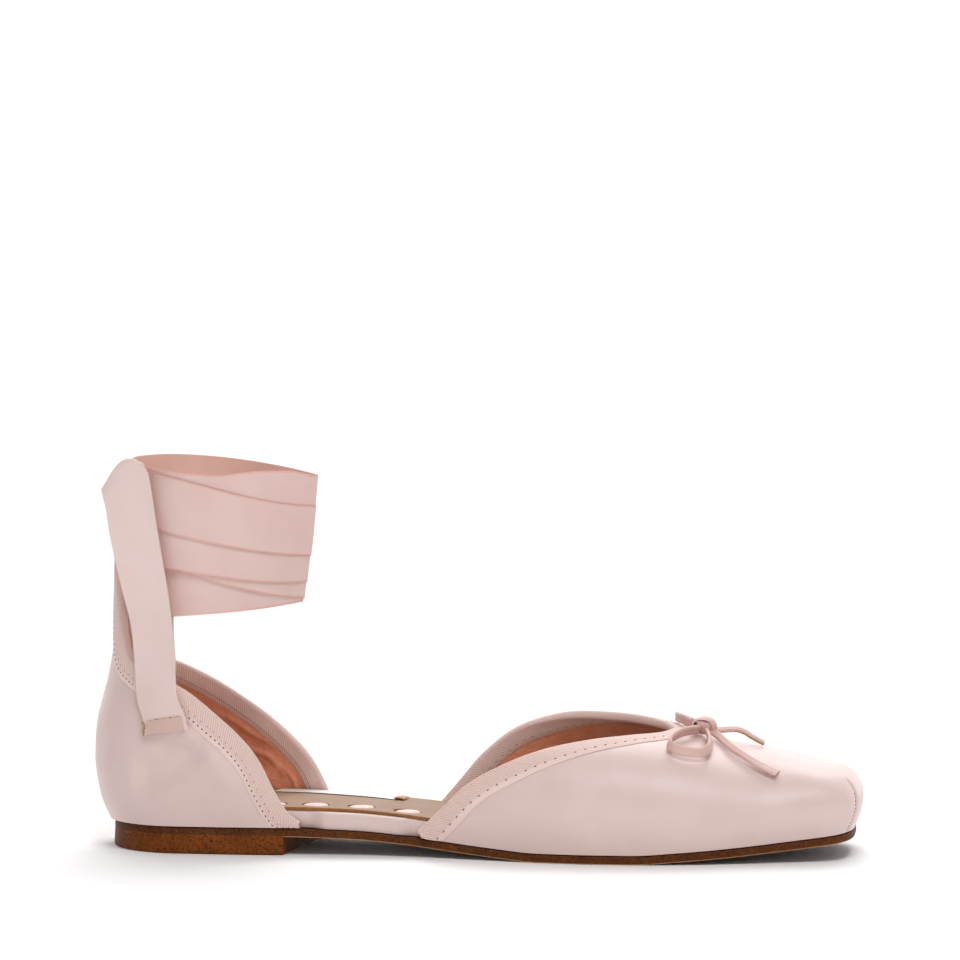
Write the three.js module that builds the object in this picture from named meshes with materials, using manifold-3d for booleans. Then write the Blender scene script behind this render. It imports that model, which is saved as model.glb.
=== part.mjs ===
// A right ballet flat with a low heel, open at the waist, tied with ankle ribbons. Millimetres.
// +X points to the toe, +Y to the inner side of the foot, +Z up.
// The origin lies on the floor under the middle of the heel.
import * as THREE from 'three';
import { mergeVertices } from 'three/addons/utils/BufferGeometryUtils.js';
import Module from 'manifold-3d';

const wasm = await Module();
wasm.setup();

// Driving dimensions of the last
const SOLE_BACK = -30;
const SOLE_FRONT = 212;
const HEEL_ROUND_CENTRE = -4;
const TOE_ROUND_START = 198;
const TOE_BOXINESS = 3.2;
const LATERAL = -1;
const MEDIAL = 1;

// Half widths of the sole on each side of the foot's axis
const SOLE_WIDTHS = [
  { x: -4, lateral: 27.0, medial: 26.0 },
  { x: 15, lateral: 27.5, medial: 25.5 },
  { x: 32, lateral: 27.0, medial: 24.0 },
  { x: 52, lateral: 26.0, medial: 21.5 },
  { x: 72, lateral: 27.4, medial: 21.5 },
  { x: 92, lateral: 31.4, medial: 25.5 },
  { x: 112, lateral: 35.4, medial: 31.5 },
  { x: 130, lateral: 37.6, medial: 36.5 },
  { x: 146, lateral: 37.4, medial: 38.4 },
  { x: 162, lateral: 35.2, medial: 38.2 },
  { x: 180, lateral: 30.8, medial: 35.6 },
  { x: 198, lateral: 25.6, medial: 30.2 },
  { x: 212, lateral: 22.4, medial: 26.6 },
];

// Height of the outsole's underside: heel seat, arch, ball on the floor, toe spring
const SOLE_UNDERSIDE = [
  { x: -30, z: 5.9 },
  { x: 30, z: 5.9 },
  { x: 42, z: 5.6 },
  { x: 56, z: 5.0 },
  { x: 70, z: 3.8 },
  { x: 85, z: 2.2 },
  { x: 100, z: 0.8 },
  { x: 112, z: 0 },
  { x: 142, z: 0 },
  { x: 156, z: 0.8 },
  { x: 172, z: 2.0 },
  { x: 190, z: 3.8 },
  { x: 212, z: 6.2 },
];

const OUTSOLE_THICK = 2.6;
const OUTSOLE_EDGE_ROUND = 0.5;
const HEEL_TAPER = 1.2;
const HEEL_CORNER = 1.2;
const HEEL_BREAST_LATERAL = 29.3;
const HEEL_BREAST_MEDIAL = 37.5;
const HEEL_BREAST_HOLLOW = 1.5;
const SEAT_GAP = 0.3;
const FEATHER_GAP = 0.4;

// Thickness of the wrapped insole board along the foot
const BOARD_THICKNESS = [
  { x: -30, thick: 5.4 },
  { x: 80, thick: 5.4 },
  { x: 104, thick: 4.0 },
  { x: 125, thick: 3.0 },
  { x: 212, thick: 2.6 },
];
const BOARD_INSET_UNDER_UPPER = 2.95;
const BOARD_INSET_AT_WAIST = 0.4;
const WAIST = { lateral: { back: 40.5, front: 68.5 }, medial: { back: 45, front: 67 }, blend: 3 };
const SOCK_THICK = 0.8;
const SOCK_INSET = 3.5;
const SOCK_FRONT = 200;

// Round windows along the sock's outer side, each over a low pad of the board
const WINDOW_RADIUS = 4.6;
const WINDOW_FIRST_X = -3;
const WINDOW_STEP = 14;
const WINDOW_COUNT = 8;
const WINDOW_FROM_EDGE = 11.5;
const PAD_RADIUS = 4.1;
const PAD_RISE = 0.7;

// Upper
const WALL = 1.6;
const VAMP_BULGE = 2.4;
const THROAT = { base: 166, x: 154, y: 1, z: 39.4 };
const SPINE_END_X = 201;

// Height of the vamp's ridge between the throat and the toe
const RIDGE = [
  { x: 154, z: 39.4 },
  { x: 162, z: 37.6 },
  { x: 172, z: 35.4 },
  { x: 181, z: 33.8 },
  { x: 190, z: 31.6 },
  { x: 201, z: 29.2 },
  { x: 215, z: 26.4 },
];

// Topline of the vamp: where it stands over the sole's edge, and where it runs
const VAMP_TOPLINE = {
  lateral: [
    { base: 74.0, x: 74.0, y: -28.0, z: 7.6 },
    { base: 79.5, x: 80.4, y: -29.6, z: 14.6 },
    { base: 88.0, x: 88.4, y: -30.8, z: 22.8 },
    { base: 99.0, x: 98.8, y: -30.6, z: 29.2 },
    { base: 113.0, x: 112.0, y: -27.4, z: 34.4 },
    { base: 129.0, x: 126.5, y: -21.6, z: 37.3 },
    { base: 143.0, x: 139.5, y: -15.6, z: 38.4 },
    { base: 156.0, x: 150.0, y: -8.2, z: 38.8 },
    { base: 166.0, x: 154.0, y: 1.0, z: 39.4 },
  ],
  medial: [
    { base: 73.0, x: 73.0, y: 21.7, z: 7.8 },
    { base: 79.0, x: 79.6, y: 23.8, z: 16.2 },
    { base: 87.0, x: 87.4, y: 26.0, z: 26.2 },
    { base: 98.0, x: 98.0, y: 27.0, z: 35.2 },
    { base: 113.0, x: 112.0, y: 25.4, z: 40.6 },
    { base: 129.0, x: 126.0, y: 20.6, z: 42.2 },
    { base: 143.0, x: 139.0, y: 15.6, z: 41.8 },
    { base: 156.0, x: 149.6, y: 9.0, z: 40.4 },
    { base: 166.0, x: 154.0, y: 1.0, z: 39.4 },
  ],
};

// Topline of the quarter by the distance round the heel, with the tall tab at the back
const QUARTER_TOPLINE = {
  lateral: [
    { round: 0, x: -29.2, y: 0, z: 94 },
    { round: 4, x: -29.0, y: -4.0, z: 93.6 },
    { round: 7, x: -28.4, y: -6.8, z: 91 },
    { round: 9, x: -27.6, y: -8.2, z: 86 },
    { round: 11.5, x: -26.8, y: -9.6, z: 78 },
    { round: 14.5, x: -25.6, y: -11.5, z: 70 },
    { round: 18, x: -24.0, y: -13.6, z: 64 },
    { round: 25, x: -19.5, y: -17.8, z: 59.5 },
    { round: 34, x: -11.5, y: -22.4, z: 56 },
    { round: 44, x: -2.0, y: -25.2, z: 51.4 },
    { round: 53, x: 7.0, y: -26.6, z: 44.6 },
    { round: 61, x: 15.0, y: -27.0, z: 37.6 },
    { round: 68, x: 21.0, y: -27.0, z: 30.2 },
    { round: 73.4, x: 26.4, y: -26.8, z: 19.8 },
    { round: 77.2, x: 30.6, y: -26.8, z: 13.2 },
    { round: 80.4, x: 34.5, y: -26.85, z: 10.2 },
  ],
  medial: [
    { round: 0, x: -29.2, y: 0, z: 94 },
    { round: 4, x: -29.0, y: 4.0, z: 93.6 },
    { round: 7, x: -28.4, y: 6.8, z: 91 },
    { round: 9, x: -27.6, y: 8.2, z: 86 },
    { round: 11.5, x: -26.8, y: 9.6, z: 78 },
    { round: 14.5, x: -25.6, y: 11.5, z: 70 },
    { round: 18, x: -24.0, y: 13.6, z: 64 },
    { round: 25, x: -19.5, y: 17.4, z: 60 },
    { round: 34, x: -11.5, y: 21.6, z: 56.4 },
    { round: 44, x: -1.5, y: 23.8, z: 51.2 },
    { round: 53, x: 7.5, y: 24.4, z: 45.6 },
    { round: 62, x: 16.5, y: 24.2, z: 39.4 },
    { round: 70, x: 25.0, y: 23.6, z: 32.2 },
    { round: 77, x: 31.6, y: 22.8, z: 24.6 },
    { round: 80.4, x: 35.4, y: 22.8, z: 17.4 },
    { round: 83.4, x: 38.2, y: 23.0, z: 10.2 },
  ],
};

// How far the heel cup stands out at each height, right at the back
const CUP = [
  { z: 8, out: 1.0 },
  { z: 15, out: 4.3 },
  { z: 22, out: 6.0 },
  { z: 30, out: 6.8 },
  { z: 37, out: 6.6 },
  { z: 43, out: 5.8 },
  { z: 50, out: 4.1 },
  { z: 57, out: 2.4 },
  { z: 64, out: 1.2 },
  { z: 72, out: 0.6 },
  { z: 94, out: 0.2 },
];

// How much of that is left farther round the heel
const CUP_SHARE = [
  { round: 0, share: 1 },
  { round: 14, share: 0.92 },
  { round: 28, share: 0.62 },
  { round: 42, share: 0.36 },
  { round: 60, share: 0.24 },
  { round: 80, share: 0 },
];

// Blank label lying on the sock at the waist
const LABEL_CORNERS = [
  { x: 20.4, y: 14.0 },
  { x: 61.2, y: 7.1 },
  { x: 62.5, y: 14.7 },
  { x: 21.7, y: 21.5 },
];
const LABEL_THICK = 0.4;

// Folded tape round the free edges of the upper
const TAPE_GAP = 0.42;
const TAPE_THICK = 0.45;
const TAPE_OUTSIDE = 6.5;
const TAPE_INSIDE = 7;

// Ankle ribbon: plan of its loop, then one row for each turn from the top down
const RIBBON_THICK = 0.55;
const LOOP = { middleX: 5.85, reachX: 27.35, reachY: 26.6, pinch: 0.8, lean: 0.07, leanFrom: 100 };
const TURN_STEPS = 28;
const TURNS = [
  { name: 'ribbon_turn_1', out: 1.7, z: 108.1, riseX: -0.09, riseY: 0.07, height: 15.5 },
  { name: 'ribbon_turn_2', out: 2.55, z: 103.5, riseX: -0.2, riseY: 0.07, height: 17.5 },
  { name: 'ribbon_turn_3', out: 1.7, z: 92.7, riseX: -0.09, riseY: 0.07, height: 15 },
  { name: 'ribbon_turn_4', out: 0.85, z: 91.5, riseX: -0.22, riseY: 0.07, height: 15.5 },
  { name: 'ribbon_turn_5', out: 0, z: 78.6, riseX: 0.11, riseY: 0.07, height: 15.5 },
];

// Ankle straps: both edges of the ribbon from its sewn end upwards, and the bow of its width
const STRAPS = {
  lateral: [
    { backX: -14.8, backY: -25.4, backZ: 38.1, frontX: -1.2, frontY: -29.0, frontZ: 40.4, bow: 0 },
    { backX: -16.0, backY: -25.2, backZ: 43.0, frontX: -2.6, frontY: -28.2, frontZ: 45.4, bow: 0 },
    { backX: -18.4, backY: -22.6, backZ: 49.3, frontX: -4.9, frontY: -27.2, frontZ: 49.8, bow: 0 },
    { backX: -19.4, backY: -21.2, backZ: 56.5, frontX: -5.6, frontY: -27.2, frontZ: 56.0, bow: 0 },
    { backX: -19.9, backY: -20.8, backZ: 64.0, frontX: -5.8, frontY: -26.8, frontZ: 63.0, bow: 0 },
    { backX: -20.9, backY: -20.8, backZ: 73.6, frontX: -6.8, frontY: -26.2, frontZ: 73.0, bow: 0 },
    { backX: -23.6, backY: -20.6, backZ: 84.0, frontX: -8.2, frontY: -25.8, frontZ: 84.0, bow: 0.2 },
    { backX: -26.2, backY: -20.2, backZ: 94.5, frontX: -10.0, frontY: -25.6, frontZ: 94.5, bow: 0.4 },
    { backX: -28.2, backY: -19.8, backZ: 104.0, frontX: -11.8, frontY: -25.4, frontZ: 105.0, bow: 0.8 },
    { backX: -29.3, backY: -19.4, backZ: 111.0, frontX: -13.4, frontY: -25.0, frontZ: 115.0, bow: 2.4 },
    { backX: -30.4, backY: -18.8, backZ: 115.0, frontX: -14.8, frontY: -24.4, frontZ: 122.0, bow: 4.4 },
    { backX: -31.0, backY: -17.6, backZ: 117.0, frontX: -16.6, frontY: -23.0, frontZ: 125.4, bow: 5.2 },
    { backX: -30.4, backY: -15.4, backZ: 115.8, frontX: -16.6, frontY: -20.8, frontZ: 124.0, bow: 4.6 },
    { backX: -28.4, backY: -13.6, backZ: 111.0, frontX: -16.2, frontY: -19.7, frontZ: 117.5, bow: 2.4 },
  ],
  medial: [
    { backX: -22.8, backY: 20.6, backZ: 39.0, frontX: -11.0, frontY: 25.6, frontZ: 41.5, bow: 0 },
    { backX: -24.6, backY: 18.4, backZ: 48.0, frontX: -13.0, frontY: 23.8, frontZ: 50.0, bow: 0 },
    { backX: -26.2, backY: 17.0, backZ: 58.0, frontX: -14.8, frontY: 23.6, frontZ: 60.0, bow: 0 },
    { backX: -26.8, backY: 18.2, backZ: 70.0, frontX: -15.4, frontY: 24.6, frontZ: 72.0, bow: 0 },
    { backX: -26.0, backY: 17.0, backZ: 84.0, frontX: -14.8, frontY: 23.8, frontZ: 86.0, bow: 0.3 },
    { backX: -24.6, backY: 15.8, backZ: 98.0, frontX: -14.0, frontY: 22.5, frontZ: 100.0, bow: 0.5 },
    { backX: -23.6, backY: 15.2, backZ: 109.0, frontX: -13.8, frontY: 21.8, frontZ: 113.0, bow: 0.6 },
  ],
};
const STRAP_CLEAR = 1.65;
const STRAP_REACH = 4;

// Bow on the throat: flat cord run by its middle line, with its lie at each end
const BOW_CORD = { width: 2.8, thick: 1.4 };
const BOW_KNOT = { x: 163.2, y: -2.6, z: 41.0, reachX: 3.9, reachY: 3.3, reachZ: 2.9 };
const BOW_PATHS = {
  bow_loop_lateral: {
    lieFrom: 0.3,
    lieTo: 0.3,
    rows: [
      { x: 161.6, y: -7.4, z: 40.2 },
      { x: 160.1, y: -10.2, z: 40.3 },
      { x: 157.7, y: -13.2, z: 40.1 },
      { x: 155.3, y: -17.0, z: 39.4 },
      { x: 153.7, y: -20.8, z: 38.3 },
      { x: 153.6, y: -24.0, z: 37.0 },
      { x: 155.3, y: -25.5, z: 36.0 },
      { x: 157.9, y: -25.7, z: 35.3 },
      { x: 160.8, y: -25.2, z: 34.9 },
      { x: 163.7, y: -24.3, z: 34.8 },
      { x: 165.7, y: -21.9, z: 35.5 },
      { x: 166.2, y: -17.7, z: 36.8 },
      { x: 165.6, y: -13.2, z: 38.3 },
      { x: 164.6, y: -8.9, z: 39.4 },
    ],
  },
  bow_loop_medial: {
    lieFrom: 0,
    lieTo: 0,
    rows: [
      { x: 158.4, y: 1.6, z: 41.1 },
      { x: 156.1, y: 4.2, z: 42.1 },
      { x: 154.3, y: 8.0, z: 42.3 },
      { x: 153.3, y: 11.6, z: 42.2 },
      { x: 154.6, y: 15.0, z: 41.2 },
      { x: 157.2, y: 15.6, z: 40.2 },
      { x: 159.4, y: 12.6, z: 39.9 },
      { x: 161.2, y: 8.4, z: 39.8 },
      { x: 162.4, y: 3.8, z: 39.9 },
    ],
  },
  bow_tail_lateral: {
    lieFrom: 1.1,
    lieTo: 1.2,
    rows: [
      { x: 167.9, y: -5.6, z: 38.0 },
      { x: 171.5, y: -12.2, z: 36.0 },
      { x: 175.0, y: -15.8, z: 34.0 },
      { x: 179.8, y: -19.0, z: 31.6 },
      { x: 184.8, y: -21.2, z: 29.3 },
      { x: 187.9, y: -22.1, z: 28.0 },
    ],
  },
  bow_tail_medial: {
    lieFrom: 0.7,
    lieTo: 0.9,
    rows: [
      { x: 168.0, y: -1.0, z: 39.2 },
      { x: 170.6, y: 0.0, z: 39.5 },
      { x: 173.8, y: 1.0, z: 39.4 },
      { x: 176.1, y: 1.5, z: 38.5 },
      { x: 178.4, y: 2.0, z: 37.0 },
      { x: 180.4, y: 2.5, z: 35.8 },
      { x: 182.1, y: 3.0, z: 34.9 },
    ],
  },
};

const SATIN = { color: 0xdfbfb4, roughness: 0.42, metalness: 0 };
const INSOLE_TAN = { color: 0xc9a58a, roughness: 0.6, metalness: 0 };
const SOLE_BROWN = { color: 0x7a4322, roughness: 0.55, metalness: 0 };
const RIBBON_PINK = { color: 0xdbb9af, roughness: 0.4, metalness: 0 };
const TAPE_PINK = { color: 0xe3c6ba, roughness: 0.75, metalness: 0 };
const LABEL_WHITE = { color: 0xf2efec, roughness: 0.6, metalness: 0 };

// Smooth reading of one table column between its rows, with no overshoot
function reader(rows, key, column) {
  const last = rows.length - 1;
  const step = (i) => rows[i + 1][key] - rows[i][key];
  const rise = (i) => (rows[i + 1][column] - rows[i][column]) / step(i);
  const slopes = rows.map((row, i) => {
    if (i === 0) {
      return rise(0);
    }
    if (i === last) {
      return rise(last - 1);
    }
    const before = rise(i - 1);
    const after = rise(i);
    if (before * after <= 0) {
      return 0;
    }
    return (before + after) / 2 > 0
      ? Math.min((before + after) / 2, 3 * before, 3 * after)
      : Math.max((before + after) / 2, 3 * before, 3 * after);
  });
  return (at) => {
    const value = THREE.MathUtils.clamp(at, rows[0][key], rows[last][key]);
    let i = 0;
    while (i < last - 1 && value > rows[i + 1][key]) {
      i += 1;
    }
    const h = step(i);
    const t = (value - rows[i][key]) / h;
    const a = (1 + 2 * t) * (1 - t) ** 2 * rows[i][column];
    const b = t * (1 - t) ** 2 * h * slopes[i];
    const c = t * t * (3 - 2 * t) * rows[i + 1][column];
    const d = t * t * (t - 1) * h * slopes[i + 1];
    return a + b + c + d;
  };
}

function smoothstep(value, from, to) {
  return THREE.MathUtils.smoothstep(value, from, to);
}

function mix(a, b, t) {
  return a + (b - a) * t;
}

// A run of points with its length, read by distance
function runOf(points) {
  const along = [0];
  for (let i = 1; i < points.length; i += 1) {
    along.push(along[i - 1] + points[i].distanceTo(points[i - 1]));
  }
  const total = along[along.length - 1];
  const at = (distance) => {
    const value = THREE.MathUtils.clamp(distance, 0, total);
    let i = 0;
    while (i < points.length - 2 && value > along[i + 1]) {
      i += 1;
    }
    const t = (value - along[i]) / Math.max(along[i + 1] - along[i], 1e-9);
    return points[i].clone().lerp(points[i + 1], t);
  };
  return { points, along, total, at };
}

function evenly(points, count) {
  const run = runOf(points);
  return Array.from({ length: count + 1 }, (_, i) => run.at((run.total * i) / count));
}

const soleUnderside = reader(SOLE_UNDERSIDE, 'x', 'z');
const boardThickness = reader(BOARD_THICKNESS, 'x', 'thick');
const outsoleTop = (x) => soleUnderside(x) + OUTSOLE_THICK;
const boardBottom = (x) => outsoleTop(x) + SEAT_GAP;
const boardTop = (x) => boardBottom(x) + boardThickness(x);
const sockBottom = (x) => boardTop(x) + SEAT_GAP;
const featherHeight = (x) => outsoleTop(x) + FEATHER_GAP;
const ridgeHeight = reader(RIDGE, 'x', 'z');

// The sole's edge on one side, from the middle of the heel to the middle of the toe
function soleEdge(side) {
  const width = reader(SOLE_WIDTHS, 'x', side === LATERAL ? 'lateral' : 'medial');
  const points = [];
  const heelRadius = HEEL_ROUND_CENTRE - SOLE_BACK;
  const turns = 24;
  for (let i = 0; i < turns; i += 1) {
    const angle = (Math.PI / 2) * (i / turns);
    const x = HEEL_ROUND_CENTRE - heelRadius * Math.cos(angle);
    points.push(new THREE.Vector3(x, side * width(HEEL_ROUND_CENTRE) * Math.sin(angle), 0));
  }
  for (let x = HEEL_ROUND_CENTRE; x < TOE_ROUND_START; x += 2) {
    points.push(new THREE.Vector3(x, side * width(x), 0));
  }
  const toeReach = SOLE_FRONT - TOE_ROUND_START;
  const power = 2 / TOE_BOXINESS;
  for (let i = 0; i <= turns * 2; i += 1) {
    const angle = (Math.PI / 2) * (i / (turns * 2));
    const x = TOE_ROUND_START + toeReach * Math.sin(angle) ** power;
    const y = i === turns * 2 ? 0 : width(x) * Math.cos(angle) ** power;
    points.push(new THREE.Vector3(x, side * y, 0));
  }
  const run = runOf(points);
  const reach = 1.5;
  const outward = (distance) => {
    const ahead = run.at(distance + reach);
    const behind = run.at(distance - reach);
    const along = ahead.sub(behind).normalize();
    return new THREE.Vector3(along.y * -side, along.x * side, 0);
  };
  const distanceAt = (x) => {
    let low = 0;
    let high = run.total;
    for (let i = 0; i < 40; i += 1) {
      const middle = (low + high) / 2;
      if (run.at(middle).x < x) {
        low = middle;
      } else {
        high = middle;
      }
    }
    return low;
  };
  return { at: run.at, total: run.total, outward, distanceAt };
}

const EDGES = { [LATERAL]: soleEdge(LATERAL), [MEDIAL]: soleEdge(MEDIAL) };

// A welded sheet from columns of points; matching sheets share its welds
function sheetOf(columns) {
  const indexByKey = new Map();
  const points = [];
  const places = [];
  const index = columns.map((column, i) => column.map((point, j) => {
    const key = point.toArray().map((value) => Math.round(value * 1e4)).join(' ');
    if (!indexByKey.has(key)) {
      indexByKey.set(key, points.length);
      points.push(point.clone());
      places.push([i, j]);
    }
    return indexByKey.get(key);
  }));
  const triangles = [];
  const add = (a, b, c) => {
    if (a !== b && b !== c && c !== a) {
      triangles.push([a, b, c]);
    }
  };
  for (let i = 0; i + 1 < index.length; i += 1) {
    for (let j = 0; j + 1 < index[i].length; j += 1) {
      add(index[i][j], index[i + 1][j], index[i + 1][j + 1]);
      add(index[i][j], index[i + 1][j + 1], index[i][j + 1]);
    }
  }
  return { points, places, triangles, index };
}

function sheetNormals(sheet) {
  const normals = sheet.points.map(() => new THREE.Vector3());
  for (const [a, b, c] of sheet.triangles) {
    const u = sheet.points[b].clone().sub(sheet.points[a]);
    const v = sheet.points[c].clone().sub(sheet.points[a]);
    const face = u.cross(v);
    [a, b, c].forEach((corner) => normals[corner].add(face));
  }
  return normals.map((normal) => normal.normalize());
}

// A closed body between matching layers of points over one set of triangles
function bodyBetween(triangles, layers) {
  const size = layers[0].length;
  const top = layers.length - 1;
  const faces = [];
  const opposite = new Set(triangles.flatMap(([a, b, c]) => [`${b} ${a}`, `${c} ${b}`, `${a} ${c}`]));
  for (const [a, b, c] of triangles) {
    faces.push([a, b, c]);
    faces.push([a + top * size, c + top * size, b + top * size]);
    for (const [from, to] of [[a, b], [b, c], [c, a]]) {
      if (!opposite.has(`${from} ${to}`)) {
        for (let level = 0; level < top; level += 1) {
          const near = level * size;
          const far = near + size;
          faces.push([to + near, from + near, from + far]);
          faces.push([to + near, from + far, to + far]);
        }
      }
    }
  }
  const positions = new Float32Array(layers.flat().flatMap((point) => point.toArray()));
  let volume = 0;
  const corner = (i) => new THREE.Vector3().fromArray(positions, i * 3);
  for (const [a, b, c] of faces) {
    volume += corner(a).dot(corner(b).cross(corner(c)));
  }
  const order = volume > 0 ? [0, 1, 2] : [0, 2, 1];
  const geometry = new THREE.BufferGeometry();
  geometry.setAttribute('position', new THREE.BufferAttribute(positions, 3));
  geometry.setIndex(faces.flatMap((face) => order.map((i) => face[i])));
  return geometry;
}

function bodyFromGrids(grids) {
  const sheet = sheetOf(grids[0]);
  const layers = grids.map((grid) => sheet.places.map(([i, j]) => grid[i][j]));
  return bodyBetween(sheet.triangles, layers);
}

// The same columns moved back by the wall's thickness
function columnsBehind(columns, thickness) {
  const sheet = sheetOf(columns);
  const normals = sheetNormals(sheet);
  const back = sheet.points.map((point, i) => point.clone().addScaledVector(normals[i], -thickness));
  return sheet.index.map((column) => column.map((corner) => back[corner]));
}

function toManifold(source) {
  const bare = new THREE.BufferGeometry();
  bare.setAttribute('position', source.getAttribute('position').clone());
  if (source.index) {
    bare.setIndex(source.index.clone());
  }
  const welded = mergeVertices(bare, 1e-4);
  const vertProperties = new Float32Array(welded.getAttribute('position').array);
  const triVerts = new Uint32Array(welded.index.array);
  return new wasm.Manifold(new wasm.Mesh({ numProp: 3, vertProperties, triVerts }));
}

function fromManifold(solid) {
  const mesh = solid.getMesh();
  const geometry = new THREE.BufferGeometry();
  geometry.setAttribute('position', new THREE.BufferAttribute(new Float32Array(mesh.vertProperties), 3));
  geometry.setIndex(new THREE.BufferAttribute(new Uint32Array(mesh.triVerts), 1));
  return geometry;
}

const STATION_STEP = 9;
const TOE_STATION_STEP = 4.2;
const TOE_STATION_RUN = 42;

// Shares of the edge's length at which the flat pieces have their cross lines
function stationShares() {
  const length = EDGES[LATERAL].total;
  const coarse = Math.round((length - TOE_STATION_RUN) / STATION_STEP);
  const fine = Math.round(TOE_STATION_RUN / TOE_STATION_STEP);
  const turn = 1 - TOE_STATION_RUN / length;
  const shares = [];
  for (let i = 0; i < coarse; i += 1) {
    shares.push((turn * i) / coarse);
  }
  for (let i = 0; i <= fine; i += 1) {
    shares.push(turn + ((1 - turn) * i) / fine);
  }
  return shares;
}

// A flat piece's plan: cross lines from the lateral edge to the medial edge, drawn in by the inset
function planGrid(inset, height, lastX = SOLE_FRONT, across = 2) {
  const limit = {
    [LATERAL]: EDGES[LATERAL].distanceAt(lastX) / EDGES[LATERAL].total,
    [MEDIAL]: EDGES[MEDIAL].distanceAt(lastX) / EDGES[MEDIAL].total,
  };
  const edgePoint = (side, share) => {
    const edge = EDGES[side];
    const distance = edge.total * share * (lastX < SOLE_FRONT ? limit[side] : 1);
    const point = edge.at(distance);
    const amount = typeof inset === 'function' ? inset(point.x, side) : inset;
    return point.addScaledVector(edge.outward(distance), -amount);
  };
  return stationShares().map((share) => {
    const from = edgePoint(LATERAL, share);
    const to = edgePoint(MEDIAL, share);
    from.y = Math.min(from.y, 0);
    to.y = Math.max(to.y, 0);
    return Array.from({ length: across + 1 }, (_, i) => {
      const point = from.clone().lerp(to, i / across);
      point.z = height(point.x);
      return point;
    });
  });
}

function outsole() {
  const round = OUTSOLE_EDGE_ROUND;
  return bodyFromGrids([
    planGrid(0, outsoleTop),
    planGrid(0, (x) => soleUnderside(x) + round),
    planGrid(round, soleUnderside),
  ]);
}

// The heel block's plan between the round back and the slanting breast
function heelGrid(inset, z) {
  const steps = 12;
  const across = 4;
  const frontInset = Math.max(inset - HEEL_TAPER, 0);
  const ends = {
    [LATERAL]: EDGES[LATERAL].distanceAt(HEEL_BREAST_LATERAL - frontInset),
    [MEDIAL]: EDGES[MEDIAL].distanceAt(HEEL_BREAST_MEDIAL - frontInset),
  };
  const edgePoint = (side, share) => {
    const edge = EDGES[side];
    const distance = ends[side] * share;
    return edge.at(distance).addScaledVector(edge.outward(distance), -inset);
  };
  return Array.from({ length: steps + 1 }, (_, i) => {
    const share = i / steps;
    const from = edgePoint(LATERAL, share);
    const to = edgePoint(MEDIAL, share);
    from.y = Math.min(from.y, 0);
    to.y = Math.max(to.y, 0);
    return Array.from({ length: across + 1 }, (__, j) => {
      const t = j / across;
      const point = from.clone().lerp(to, t);
      point.x -= HEEL_BREAST_HOLLOW * Math.sin(Math.PI * t) * share ** 3;
      point.z = z;
      return point;
    });
  });
}

function heelBlock() {
  const top = soleUnderside(0) - SEAT_GAP;
  return bodyFromGrids([
    heelGrid(0.2, top),
    heelGrid(HEEL_TAPER * 0.8, HEEL_CORNER),
    heelGrid(HEEL_TAPER + HEEL_CORNER * 0.3, HEEL_CORNER * 0.3),
    heelGrid(HEEL_TAPER + HEEL_CORNER, 0),
  ]);
}

function boardInset(extra) {
  return (x, side) => {
    const waist = side === LATERAL ? WAIST.lateral : WAIST.medial;
    const open = smoothstep(x, waist.back - WAIST.blend, waist.back + WAIST.blend)
      * (1 - smoothstep(x, waist.front - WAIST.blend, waist.front + WAIST.blend));
    return mix(BOARD_INSET_UNDER_UPPER, BOARD_INSET_AT_WAIST, open) + extra;
  };
}

function windowCentres() {
  const edge = EDGES[LATERAL];
  return Array.from({ length: WINDOW_COUNT }, (_, i) => {
    const distance = edge.distanceAt(WINDOW_FIRST_X + i * WINDOW_STEP);
    return edge.at(distance).addScaledVector(edge.outward(distance), -WINDOW_FROM_EDGE);
  });
}

// Low round pad with its foot sunk in the board
function boardPad(centre) {
  const sink = 1;
  const seat = boardTop(centre.x);
  const rise = PAD_RISE + SEAT_GAP;
  const profile = [
    new THREE.Vector2(0, -sink),
    new THREE.Vector2(PAD_RADIUS, -sink),
    new THREE.Vector2(PAD_RADIUS, rise * 0.4),
    new THREE.Vector2(PAD_RADIUS * 0.7, rise * 0.85),
    new THREE.Vector2(0, rise),
  ];
  const pad = new THREE.LatheGeometry(profile, 8);
  pad.rotateX(Math.PI / 2);
  pad.translate(centre.x, centre.y, seat);
  return pad;
}

function insoleBoard() {
  const lift = (share) => (x) => boardBottom(x) + boardThickness(x) * share;
  let board = toManifold(bodyFromGrids([
    planGrid(boardInset(1.6), lift(1)),
    planGrid(boardInset(0.5), lift(0.86)),
    planGrid(boardInset(0), lift(0.45)),
    planGrid(boardInset(0.9), lift(0)),
  ]));
  for (const centre of windowCentres()) {
    board = board.add(toManifold(boardPad(centre)));
  }
  return fromManifold(board);
}

function insoleSock() {
  let sock = toManifold(bodyFromGrids([
    planGrid(SOCK_INSET, (x) => sockBottom(x) + SOCK_THICK, SOCK_FRONT),
    planGrid(SOCK_INSET, sockBottom, SOCK_FRONT),
  ]));
  for (const centre of windowCentres()) {
    const drill = new THREE.CylinderGeometry(WINDOW_RADIUS, WINDOW_RADIUS, 6, 10);
    drill.rotateX(Math.PI / 2);
    drill.translate(centre.x, centre.y, sockBottom(centre.x));
    sock = sock.subtract(toManifold(drill));
  }
  return fromManifold(sock);
}

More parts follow.
